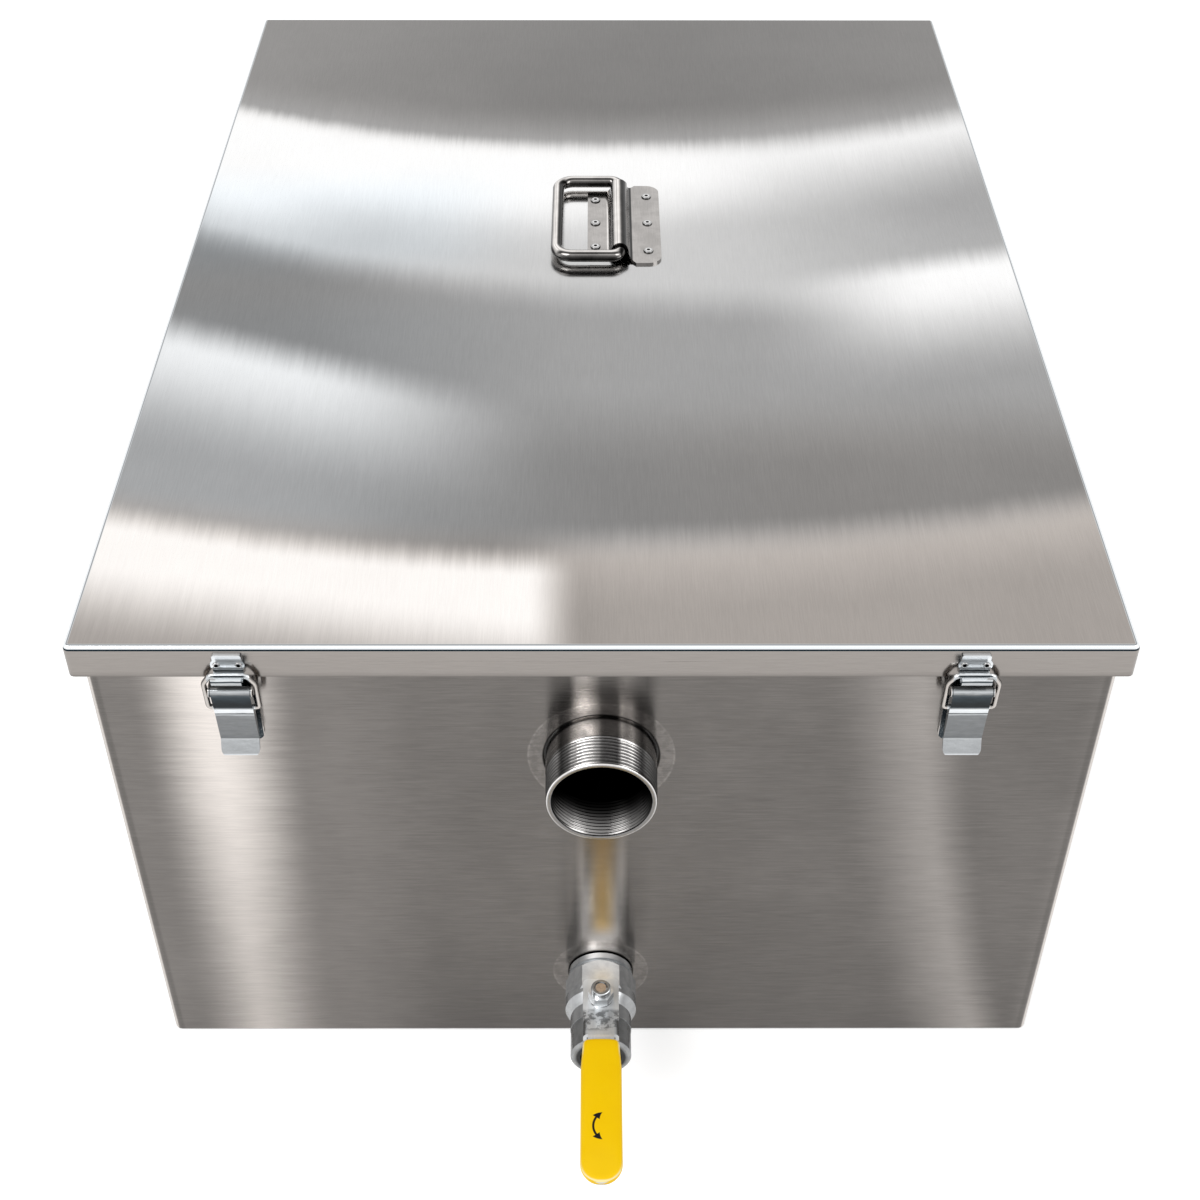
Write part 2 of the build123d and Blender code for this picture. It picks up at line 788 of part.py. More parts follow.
with BuildPart() as gland_nut:
    with BuildSketch(Plane.XY.offset(packing_z + packing_height)):
        with Locations((0, ball_y)):
            Circle(gland_radius)
    extrude(amount=packing_depth - packing_height)
    with BuildSketch(Plane.XY.offset(boss_z)):
        with Locations((0, ball_y)):
            RegularPolygon(gland_hex, 6)
    extrude(amount=gland_hex_height)
    with BuildSketch(Plane.XY.offset(packing_z)):
        with Locations((0, ball_y)):
            Circle(stem_radius + stem_play)
    extrude(amount=lever_z, mode=Mode.SUBTRACT)
save(gland_nut.part, "gland_nut")

# Valve lever: a pressed blade that climbs from the stem to the level of the grip.
# On the climb its edges are turned down, which leaves rounded shoulders above them.
climb_length = lever_rise / sin(radians(lever_slope))
climb_run = climb_length * cos(radians(lever_slope))
blade_mid = lever_z + lever_sheet / 2
grip_mid = blade_mid + lever_rise
climb_start = ball_y - lever_first_bend
climb_end = climb_start - climb_run
grip_start = ball_y - sleeve_start
lever_tip = ball_y - lever_reach
tip_centre = lever_tip + grip_blade_width / 2


def climb_point(along, above):
    # Point of the side view: along the climb from its first bend, above its middle line
    slope = radians(lever_slope)
    y = climb_start - along * cos(slope) + above * sin(slope)
    z = blade_mid + along * sin(slope) + above * cos(slope)
    return y, z


def grip_points(extra):
    # Plan of the grip behind its round tip, wider by this much on each side
    neck = grip_neck_width / 2 + extra
    full = grip_blade_width / 2 + extra
    widened = grip_start - grip_neck_length
    return [
        (neck, grip_start), (full, widened), (full, tip_centre),
        (-full, tip_centre), (-full, widened), (-neck, grip_start),
    ]


top_skin = lever_sheet / 2
flange_foot = -top_skin - channel_depth
shoulder_y = climb_point(channel_start, 0)[0]
with BuildPart() as lever:
    with BuildSketch(Plane.YZ):
        with BuildLine():
            Polyline(
                climb_point(channel_start, top_skin),
                climb_point(channel_end, top_skin),
                climb_point(channel_end - channel_depth, flange_foot),
                climb_point(channel_start + channel_depth, flange_foot),
                close=True,
            )
        make_face()
    extrude(amount=channel_width / 2, both=True)
    crest = climb_point((channel_start + channel_end) / 2, top_skin)[1]
    fillet(
        lever.edges().filter_by(Axis.X, reverse=True).filter_by_position(Axis.Z, crest - 0.1, crest + 0.1),
        channel_edge,
    )
    with BuildSketch(Plane.YZ):
        with BuildLine():
            Polyline(
                climb_point(0, -top_skin),
                climb_point(2 * channel_end, -top_skin),
                climb_point(2 * channel_end, 2 * flange_foot),
                climb_point(0, 2 * flange_foot),
                close=True,
            )
        make_face()
    extrude(amount=channel_width / 2 - channel_sheet, both=True, mode=Mode.SUBTRACT)
    with BuildSketch(Plane.XY.offset(drain_height)):
        with Locations((0, (ball_y + lever_tail + shoulder_y) / 2)):
            RectangleRounded(lever_width, ball_y + lever_tail - shoulder_y, shoulder_round)
        with Locations((0, (shoulder_y + grip_start) / 2)):
            Rectangle(channel_flat, abs(shoulder_y - grip_start) + 2 * shoulder_round)
        with BuildLine():
            Polyline(*grip_points(0), close=True)
        make_face()
        with Locations((0, tip_centre)):
            Circle(grip_blade_width / 2)
    plan = extrude(amount=2 * grip_mid, mode=Mode.PRIVATE)
    with BuildSketch(Plane.YZ):
        with BuildLine():
            FilletPolyline(
                (ball_y + lever_tail, blade_mid),
                (climb_start, blade_mid),
                (climb_end, grip_mid),
                (lever_tip, grip_mid),
                radius=lever_bend_radius,
            )
        trace(line_width=lever_sheet)
    strip = extrude(amount=lever_width, both=True, mode=Mode.PRIVATE)
    add(strip & plan)
    with BuildSketch(Plane.XY.offset(lever_z)):
        with Locations((0, ball_y)):
            Circle(stem_thread_radius)
            Rectangle(2 * stem_flat, 2 * stem_radius, mode=Mode.INTERSECT)
    extrude(amount=lever_sheet, mode=Mode.SUBTRACT)
save(lever.part, "valve_lever")

with BuildPart() as sleeve:
    with BuildSketch(Plane.XY.offset(grip_mid - lever_sheet / 2 - sleeve_wall)) as sleeve_plan:
        with BuildLine():
            Polyline(*grip_points(sleeve_wall), close=True)
        make_face()
        fillet(sleeve_plan.vertices().group_by(Axis.Y)[-1], sleeve_corner)
        with Locations((0, tip_centre)):
            Circle(grip_blade_width / 2 + sleeve_wall)
    extrude(amount=lever_sheet + 2 * sleeve_wall)
    fillet(
        sleeve.edges().group_by(Axis.Z)[0] + sleeve.edges().group_by(Axis.Z)[-1],
        (lever_sheet + sleeve_wall) / 2,
    )
    add(lever.part, mode=Mode.SUBTRACT)
save(sleeve.part, "lever_sleeve")

with BuildPart() as washer:
    with BuildSketch(Plane.XY.offset(lever_top)):
        with Locations((0, ball_y)):
            Circle(washer_radius)
            Circle(stem_thread_radius, mode=Mode.SUBTRACT)
    extrude(amount=washer_height)
save(washer.part, "lever_washer")

# Lock nut: a hexagon under the round collar that holds its plastic ring
with BuildPart() as nut:
    with BuildSketch(Plane.XY.offset(nut_z)):
        with Locations((0, ball_y)):
            RegularPolygon(nut_flats / 2, 6, major_radius=False)
    extrude(amount=nut_hex_height)
    with BuildSketch(Plane.XY.offset(nut_z)):
        with Locations((0, ball_y)):
            Circle(nut_collar_radius)
    extrude(amount=nut_height)
    fillet(nut.edges().group_by(Axis.Z)[-1], nut_edge)
    with BuildSketch(Plane.XY.offset(nut_z)):
        with Locations((0, ball_y)):
            Circle(stem_thread_radius)
    extrude(amount=nut_height, mode=Mode.SUBTRACT)
save(nut.part, "lever_nut")

# Toggle latches
keeper_face = half_depth + lid_overhang
bar_out = lid_overhang + keeper_sheet + bar_from_keeper
bar_z = lid_top - bar_down
pivot = (pivot_out, lid_top - pivot_down)
loop_hinge = (loop_hinge_out, lid_top - loop_hinge_down)
hook_floor_z = bar_z - loop_wire - bar_seat_gap
loop_length = hypot(bar_out - loop_hinge[0], bar_z - loop_hinge[1])
knuckle_radius = loop_wire + hinge_fit + knuckle_wall
pin_knuckle_radius = latch_pin_radius + hinge_fit + knuckle_wall
ear_inner = lever_half_width + ear_gap
ear_outer = ear_inner + ear_sheet


def latch_plane(x, side):
    return side_plane(x, side * half_depth, side)


def keeper_solid(x, side):
    with BuildPart() as keeper:
        with BuildSketch(latch_plane(x, side)):
            with BuildLine():
                plate_mid = lid_overhang + keeper_sheet / 2
                lip_mid = plate_mid + keeper_sheet + hook_groove
                floor_mid = hook_floor_z - keeper_sheet / 2
                FilletPolyline(
                    (plate_mid, lid_top),
                    (plate_mid, floor_mid),
                    (lip_mid, floor_mid),
                    (lip_mid, lid_top - hook_lip_down),
                    radius=hook_bend,
                )
            trace(line_width=keeper_sheet)
        extrude(amount=keeper_width / 2, both=True)
        with BuildSketch(axis_plane(x, side * keeper_face, 0, side)):
            tab_height = keeper_rivet_down - keeper_top
            with Locations((0, keeper_rivet_z)):
                RectangleRounded(keeper_width, keeper_waist, keeper_corner)
            with Locations((0, keeper_rivet_z + tab_height / 2)):
                RectangleRounded(keeper_tab, tab_height, keeper_tab_corner)
            with Locations((0, keeper_rivet_z - 2 * hook_groove)):
                Rectangle(hook_width, 4 * hook_groove)
        extrude(amount=2 * hook_groove, mode=Mode.INTERSECT)
        for k in (-1, 1):
            with BuildSketch(axis_plane(x + k * keeper_rivet_x, side * keeper_face, keeper_rivet_z, side)):
                Circle(keeper_rivet_radius)
            extrude(amount=keeper_sheet, mode=Mode.SUBTRACT)
    return keeper.part


def latch_base_solid(x, side):
    with BuildPart() as base:
        with BuildSketch(latch_plane(x, side)):
            with BuildLine():
                Polyline(
                    (0, lid_top - ear_top_down),
                    (pivot[0], pivot[1] + ear_radius),
                    (pivot[0], pivot[1] - ear_radius),
                    (latch_sheet, lid_top - ear_foot_down),
                    (0, lid_top - ear_foot_down),
                    close=True,
                )
            make_face()
            with Locations(pivot):
                Circle(ear_radius)
        extrude(amount=ear_outer, both=True)
        with BuildSketch(latch_plane(x, side)):
            with Locations((pivot_out + latch_sheet, lid_top - ear_foot_down)):
                Rectangle(2 * pivot_out, 4 * pivot_out)
        extrude(amount=ear_inner, both=True, mode=Mode.SUBTRACT)
        with BuildSketch(axis_plane(x, side * half_depth, 0, side)):
            with Locations((0, lid_top - (ear_top_down + base_foot_down) / 2)):
                RectangleRounded(2 * ear_outer, base_foot_down - ear_top_down, base_corner)
            with Locations((0, lid_top - ear_top_down - base_corner)):
                Rectangle(2 * ear_outer, 2 * base_corner)
        extrude(amount=latch_sheet)
        with BuildSketch(latch_plane(x, side)):
            with Locations(pivot):
                Circle(latch_pin_radius)
        extrude(amount=2 * ear_outer, both=True, mode=Mode.SUBTRACT)
    return base.part


def latch_lever_solid(x, side):
    with BuildPart() as toggle:
        with BuildSketch(latch_plane(x, side)):
            with BuildLine():
                FilletPolyline(
                    (pivot[0] + pin_knuckle_radius - latch_sheet / 2, pivot[1]),
                    (blade_top_out, loop_hinge[1]),
                    (blade_bend_out, lid_top - blade_bend_down),
                    (blade_tip_out, lid_top - blade_tip_down),
                    radius=blade_bend_radius,
                )
            trace(line_width=latch_sheet)
            with Locations(loop_hinge):
                Circle(knuckle_radius)
            with Locations(pivot):
                Circle(pin_knuckle_radius)
        extrude(amount=lever_half_width, both=True)
        with BuildSketch(axis_plane(x, side * half_depth, 0, side)):
            with Locations((0, lid_top - blade_tip_down + loop_hinge_down)):
                RectangleRounded(2 * lever_half_width, 2 * loop_hinge_down + latch_sheet, tab_corner)
        extrude(amount=4 * pivot_out, mode=Mode.INTERSECT)
        for cheek in (-lever_half_width, lever_half_width - lever_cheek):
            with BuildSketch(latch_plane(x, side).offset(cheek)):
                with BuildLine():
                    Polyline(
                        (pivot[0] + pin_knuckle_radius, pivot[1]),
                        (loop_hinge[0] + cheek_radius - 0.6, loop_hinge[1]),
                        (blade_bend_out + latch_sheet / 2, lid_top - blade_bend_down + cheek_end_gap),
                        (blade_bend_out - latch_sheet, lid_top - blade_bend_down + cheek_end_gap),
                        (loop_hinge[0] - cheek_radius + 1.5, loop_hinge[1] - 5),
                        (loop_hinge[0] - cheek_radius + 0.6, loop_hinge[1]),
                        (pivot[0] - pin_knuckle_radius, pivot[1]),
                        close=True,
                    )
                make_face()
            extrude(amount=lever_cheek)
        with BuildSketch(latch_plane(x, side)):
            with Locations(loop_hinge):
                Circle(loop_wire + hinge_fit)
            with Locations(pivot):
                Circle(latch_pin_radius + hinge_fit / 2)
        extrude(amount=2 * lever_half_width, both=True, mode=Mode.SUBTRACT)
    return toggle.part


def latch_loop_solid(x, side):
    along = (0, side * (bar_out - loop_hinge[0]), bar_z - loop_hinge[1])
    hinge_y = side * (half_depth + loop_hinge[0])
    loop_plane = Plane(
        origin=(x, hinge_y, loop_hinge[1]), x_dir=(1, 0, 0), z_dir=Vector(1, 0, 0).cross(Vector(*along))
    )
    shoulder = loop_length - loop_shoulder
    with BuildPart() as loop:
        with BuildLine(loop_plane) as wire:
            FilletPolyline(
                (loop_half_width, 0),
                (loop_half_width, shoulder),
                (loop_top_half, loop_length),
                (-loop_top_half, loop_length),
                (-loop_half_width, shoulder),
                (-loop_half_width, 0),
                radius=(loop_bend, *4 * [loop_shoulder_bend], loop_bend),
                close=True,
            )
        with BuildSketch(Plane(origin=wire.line @ 0, z_dir=wire.line % 0)):
            Circle(loop_wire)
        sweep(path=wire.line)
    return loop.part


for place, (latch_centre, latch_side) in latches.items():
    save(keeper_solid(latch_centre, latch_side), f"keeper_{place}")
    save(latch_base_solid(latch_centre, latch_side), f"latch_base_{place}")
    save(latch_lever_solid(latch_centre, latch_side), f"latch_lever_{place}")
    save(latch_loop_solid(latch_centre, latch_side), f"latch_loop_{place}")

# Latch pins: plain pins, set flush in the ears of their base
pin_solids = []
for latch_centre, latch_side in latches.values():
    with BuildPart() as pin:
        with BuildSketch(latch_plane(latch_centre, latch_side)):
            with Locations(pivot):
                Circle(latch_pin_radius)
        extrude(amount=ear_outer, both=True)
    pin_solids.append(pin.part)
save(Compound(children=pin_solids), "latch_pins")

keeper_rivet_solids = [
    rivet_solid(
        axis_plane(x, side * (keeper_face + keeper_sheet), keeper_rivet_z, side),
        keeper_rivet_radius, keeper_rivet_head, keeper_rivet_dome, keeper_rivet_eye,
        keeper_sheet + lid_sheet, keeper_rivet_head,
    )
    for x, side in keeper_rivet_places
]
save(Compound(children=keeper_rivet_solids), "keeper_rivets")

loop_lean = degrees(atan2(bar_out - loop_hinge[0], bar_z - loop_hinge[1]))
print(f"lid top {lid_top:.1f}, loop length {loop_length:.2f}, loop leans out {loop_lean:.1f} degrees")
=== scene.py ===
import bpy
import bmesh
import json
from math import cos, pi, radians, sin, sqrt
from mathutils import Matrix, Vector


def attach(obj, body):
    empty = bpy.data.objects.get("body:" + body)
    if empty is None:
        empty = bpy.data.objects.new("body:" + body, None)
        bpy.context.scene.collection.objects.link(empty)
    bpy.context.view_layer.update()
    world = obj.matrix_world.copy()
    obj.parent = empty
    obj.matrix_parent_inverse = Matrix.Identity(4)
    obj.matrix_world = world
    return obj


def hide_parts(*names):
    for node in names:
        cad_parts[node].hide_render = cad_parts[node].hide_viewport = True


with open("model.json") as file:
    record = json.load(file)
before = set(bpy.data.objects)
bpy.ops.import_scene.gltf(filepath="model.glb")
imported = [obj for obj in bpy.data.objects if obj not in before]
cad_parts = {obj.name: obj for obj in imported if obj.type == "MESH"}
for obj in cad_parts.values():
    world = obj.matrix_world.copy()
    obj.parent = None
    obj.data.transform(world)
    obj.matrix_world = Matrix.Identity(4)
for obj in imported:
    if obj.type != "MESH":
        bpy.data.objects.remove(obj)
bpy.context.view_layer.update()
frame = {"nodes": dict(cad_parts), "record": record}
nodes = frame["nodes"]
mm = 0.001


# Camera: same viewing angle as the photograph
camera = {
    "lens": 54.3256,
    "sensor": 36,
    "near": 0.02,
    "far": 50,
    "place": (-0.003533, -1.054447, 0.962681),
    "turn": (48.6066, -0.105, -0.1264),
}


def addCamera():
    data = bpy.data.cameras.new("camera")
    data.lens = camera["lens"]
    data.sensor_width = camera["sensor"]
    data.clip_start = camera["near"]
    data.clip_end = camera["far"]
    eye = bpy.data.objects.new("camera", data)
    eye.location = camera["place"]
    eye.rotation_euler = [radians(a) for a in camera["turn"]]
    bpy.context.collection.objects.link(eye)
    bpy.context.scene.camera = eye


addCamera()
print("camera set")


# Small helpers for node trees
def linkTo(tree, value, socket):
    if isinstance(value, bpy.types.NodeSocket):
        tree.links.new(value, socket)
    elif value is not None:
        socket.default_value = value


def calc(tree, operation, *values):
    node = tree.nodes.new("ShaderNodeMath")
    node.operation = operation
    for socket, value in zip(node.inputs, values):
        linkTo(tree, value, socket)
    return node.outputs[0]


def product(tree, *values):
    result = values[0]
    for value in values[1:]:
        result = calc(tree, "MULTIPLY", result, value)
    return result


def minus(tree, first, second):
    return calc(tree, "SUBTRACT", first, second)


def remap(tree, value, low, high, toLow=0.0, toHigh=1.0, smooth=True):
    node = tree.nodes.new("ShaderNodeMapRange")
    node.interpolation_type = "SMOOTHSTEP" if smooth else "LINEAR"
    ends = {"Value": value, "From Min": low, "From Max": high, "To Min": toLow, "To Max": toHigh}
    for name, v in ends.items():
        linkTo(tree, v, node.inputs[name])
    return node.outputs["Result"]


def between(tree, value, rise, fall):
    # Rises over the first pair of values and falls over the second
    return product(tree, remap(tree, value, *rise), remap(tree, value, *fall))


def band(tree, value, low, high, edge):
    # 1 between low and high, with soft edges
    return between(tree, value, (low - edge, low + edge), (high + edge, high - edge))


def blend(tree, mask, first, second):
    # Plain numbers mixed by a mask
    node = tree.nodes.new("ShaderNodeMix")
    node.data_type = "FLOAT"
    for place, value in ((0, mask), (2, first), (3, second)):
        linkTo(tree, value, node.inputs[place])
    return node.outputs[0]


def mixColour(tree, factor, first, second):
    node = tree.nodes.new("ShaderNodeMix")
    node.data_type = "RGBA"
    linkTo(tree, factor, node.inputs[0])
    for place, colour in ((6, first), (7, second)):
        linkTo(tree, colour if isinstance(colour, bpy.types.NodeSocket) else (*colour, 1), node.inputs[place])
    return node.outputs[2]


def noise(tree, vector, scale=1.0, detail=2.0, rough=0.5, output="Fac"):
    node = tree.nodes.new("ShaderNodeTexNoise")
    linkTo(tree, vector, node.inputs["Vector"])
    node.inputs["Scale"].default_value = scale
    node.inputs["Detail"].default_value = detail
    node.inputs["Roughness"].default_value = rough
    return node.outputs[output]


def stretch(tree, vector, factors, operation="MULTIPLY"):
    node = tree.nodes.new("ShaderNodeVectorMath")
    node.operation = operation
    linkTo(tree, vector, node.inputs[0])
    linkTo(tree, factors, node.inputs[1])
    return node.outputs[0]


def millimetres(tree):
    # The place of each point in the part's own frame, in millimetres
    coordinate = tree.nodes.new("ShaderNodeTexCoord")
    return stretch(tree, coordinate.outputs["Object"], (1000, 1000, 1000))


def facing(tree):
    # The surface's direction in the same frame, as three values
    return apart(tree, tree.nodes.new("ShaderNodeTexCoord").outputs["Normal"])


def apart(tree, vector):
    node = tree.nodes.new("ShaderNodeSeparateXYZ")
    linkTo(tree, vector, node.inputs[0])
    return node.outputs[0], node.outputs[1], node.outputs[2]


def distance(tree, first, second):
    return calc(tree, "SQRT", calc(tree, "ADD", product(tree, first, first), product(tree, second, second)))


def gap(tree, first, second):
    return calc(tree, "ABSOLUTE", minus(tree, first, second))


def roundAxis(tree, x, up, nx, nz):
    # Distance from a pipe's axis, and how far the surface looks away from it
    away = calc(tree, "MAXIMUM", distance(tree, x, up), 1.0)
    outward = calc(tree, "ADD", product(tree, nx, x), product(tree, nz, up))
    return away, calc(tree, "DIVIDE", outward, away)


def toneCurve(tree, value, stops):
    # A level from 0 to 255 against a value, straight between the stops
    low, high = stops[0][0], stops[-1][0]
    node = tree.nodes.new("ShaderNodeValToRGB")
    tree.links.new(remap(tree, value, low, high, smooth=False), node.inputs[0])
    elements = node.color_ramp.elements
    for k, (at, level) in enumerate(stops):
        spot = (at - low) / (high - low)
        element = elements[k] if k < 2 else elements.new(spot)
        element.position = spot
        element.color = (level / 255, level / 255, level / 255, 1)
    return product(tree, node.outputs[0], 255.0)


def newGroup(name, inputs, outputs):
    group = bpy.data.node_groups.new(name, "ShaderNodeTree")
    for label, kind, value in inputs:
        socket = group.interface.new_socket(name=label, in_out="INPUT", socket_type=kind)
        if value is not None:
            socket.default_value = value
    for label, kind in outputs:
        group.interface.new_socket(name=label, in_out="OUTPUT", socket_type=kind)
    start = group.nodes.new("NodeGroupInput")
    end = group.nodes.new("NodeGroupOutput")
    return group, start.outputs, end.inputs


def useGroup(tree, group, **values):
    node = tree.nodes.new("ShaderNodeGroup")
    node.node_tree = group
    for label, value in values.items():
        linkTo(tree, value, node.inputs[label])
    return node.outputs


# Brushed grain: fine lines along one direction. Stretch is the noise's density on each axis.
def makeGrainGroup():
    group, inp, out = newGroup(
        "brushedGrain",
        [("Place", "NodeSocketVector", None), ("Stretch", "NodeSocketVector", (1, 1, 1))],
        [("Fine", "NodeSocketFloat"), ("Coarse", "NodeSocketFloat"), ("Height", "NodeSocketFloat")],
    )
    drawn = stretch(group, inp["Place"], inp["Stretch"])
    fine = noise(group, drawn, 1.0, 4.0, 0.75)
    wide = noise(group, drawn, 0.17, 3.0, 0.6)
    height = calc(group, "ADD", product(group, fine, 0.7), product(group, wide, 0.3))
    group.links.new(remap(group, fine, 0.25, 0.75), out["Fine"])
    group.links.new(remap(group, wide, 0.3, 0.7), out["Coarse"])
    group.links.new(height, out["Height"])
    return group


# A soft painted sheen with one curved edge: a band of painted reflection that moves the level to its target,
# lighter or darker, from the edge on, holds, and fades out further on
def makePaintedSheenGroup():
    numbers = (
        "Level", "Target", "Across", "Down", "Edge", "Tilt",
        "Bow", "Soft", "Hold", "Fall", "SideFrom", "SideTo",
    )
    group, inp, out = newGroup(
        "curvedPaintedSheen",
        [(name, "NodeSocketFloat", 0.0) for name in numbers],
        [("Level", "NodeSocketFloat")],
    )
    curve = calc(group, "MULTIPLY_ADD", inp["Across"], inp["Bow"], inp["Tilt"])
    curve = calc(group, "MULTIPLY_ADD", inp["Across"], curve, inp["Edge"])
    below = minus(group, curve, inp["Down"])
    half = product(group, inp["Soft"], 0.5)
    rise = remap(group, below, product(group, half, -1.0), half)
    fade = remap(group, below, calc(group, "ADD", inp["Hold"], inp["Fall"]), inp["Hold"])
    side = remap(group, inp["Across"], inp["SideFrom"], inp["SideTo"])
    mask = product(group, rise, fade, side)
    group.links.new(blend(group, mask, inp["Level"], inp["Target"]), out["Level"])
    return group


# Steel tone: a level from 0 to 255 as a colour, warmer or cooler by Warm
def makeToneGroup():
    group, inp, out = newGroup(
        "steelTone",
        [("Level", "NodeSocketFloat", 128.0), ("Warm", "NodeSocketFloat", 0.0)],
        [("Colour", "NodeSocketColor")],
    )
    share = calc(group, "MULTIPLY_ADD", inp["Level"], 1 / (255 * 1.055), 0.055 / 1.055)
    light = calc(group, "POWER", calc(group, "MAXIMUM", share, 0.0), 2.4)
    node = group.nodes.new("ShaderNodeCombineXYZ")
    for socket, tint in zip(node.inputs, (0.09, 0.0, -0.07)):
        shade = product(group, light, calc(group, "MULTIPLY_ADD", inp["Warm"], tint, 1.0))
        group.links.new(calc(group, "MINIMUM", shade, 1.0), socket)
    group.links.new(node.outputs[0], out["Colour"])
    return group


# Handling marks: faint scratches and cloudy stains
def makeWearGroup():
    group, inp, out = newGroup(
        "handlingMarks",
        [("Place", "NodeSocketVector", None), ("Size", "NodeSocketFloat", 1.0)],
        [("Cloud", "NodeSocketFloat"), ("Scratch", "NodeSocketFloat")],
    )
    scaled = stretch(group, inp["Place"], inp["Size"])
    cloud = noise(group, scaled, 0.012, 4.0, 0.6)
    bend = stretch(group, noise(group, scaled, 0.04, output="Color"), (30, 30, 30))
    crack = group.nodes.new("ShaderNodeTexVoronoi")
    crack.feature = "DISTANCE_TO_EDGE"
    crack.inputs["Scale"].default_value = 0.05
    group.links.new(stretch(group, scaled, bend, "ADD"), crack.inputs["Vector"])
    line = remap(group, crack.outputs["Distance"], 0.03, 0.0)
    group.links.new(remap(group, cloud, 0.35, 0.65), out["Cloud"])
    group.links.new(product(group, line, remap(group, cloud, 0.5, 0.62)), out["Scratch"])
    return group


grainGroup = makeGrainGroup()
paintedSheenGroup = makePaintedSheenGroup()
toneGroup = makeToneGroup()
wearGroup = makeWearGroup()


finishes = {}


def newFinish(slot, **plain):
    # A material named after its slot, with plain values on its shader, and the place of each point
    first, second = slot.split("_")
    material = bpy.data.materials.new(first + second.title())
    material.use_nodes = True
    finishes[slot] = material
    tree = material.node_tree
    shader = tree.nodes["Principled BSDF"]
    for label, value in plain.items():
        shader.inputs[label].default_value = value
    return tree, shader, millimetres(tree)


def tangentAlong(tree, shader, direction):
    node = tree.nodes.new("ShaderNodeCombineXYZ")
    for socket, value in zip(node.inputs, direction):
        socket.default_value = value
    tree.links.new(node.outputs[0], shader.inputs["Tangent"])


def steelColour(tree, level, warm):
    return useGroup(tree, toneGroup, Level=level, Warm=warm)["Colour"]


def paint(tree, shader, f, colour, mask, height, limits=(0.0, 1.0)):
    # The colour, a roughness that follows a mask, and a bump with its depth in millimetres and its strength
    tree.links.new(colour, shader.inputs["Base Color"])
    tree.links.new(remap(tree, mask, *limits, *f["roughness"], False), shader.inputs["Roughness"])
    depth, strength = f["bump"]
    bump = tree.nodes.new("ShaderNodeBump")
    bump.inputs["Strength"].default_value = strength
    bump.inputs["Distance"].default_value = depth * mm
    linkTo(tree, height, bump.inputs["Height"])
    tree.links.new(bump.outputs[0], shader.inputs["Normal"])


# Painted sheens laid onto a level one after another, also used for the tint of the painted reflections
def addPaintedSheens(tree, level, across, down, paintedSheens):
    flipped = product(tree, down, -1.0)
    for s in paintedSheens:
        hold, fall = s.get("fade", (9000, 1000))
        sideFrom, sideTo = s.get("side", (-9000, -8000))
        level = useGroup(
            tree, paintedSheenGroup, Level=level, Target=s["level"], Across=across,
            Down=flipped if s.get("flip") else down, Edge=s["edge"], Tilt=s.get("tilt", 0.0),
            Bow=s.get("bow", 0.0), Soft=s["soft"], Hold=hold, Fall=fall, SideFrom=sideFrom, SideTo=sideTo,
        )["Level"]
    return level


def vary(tree, level, mask, amount):
    # A mask from 0 to 1 moves the level up and down by half the amount
    return calc(tree, "MULTIPLY_ADD", minus(tree, mask, 0.5), amount, level)
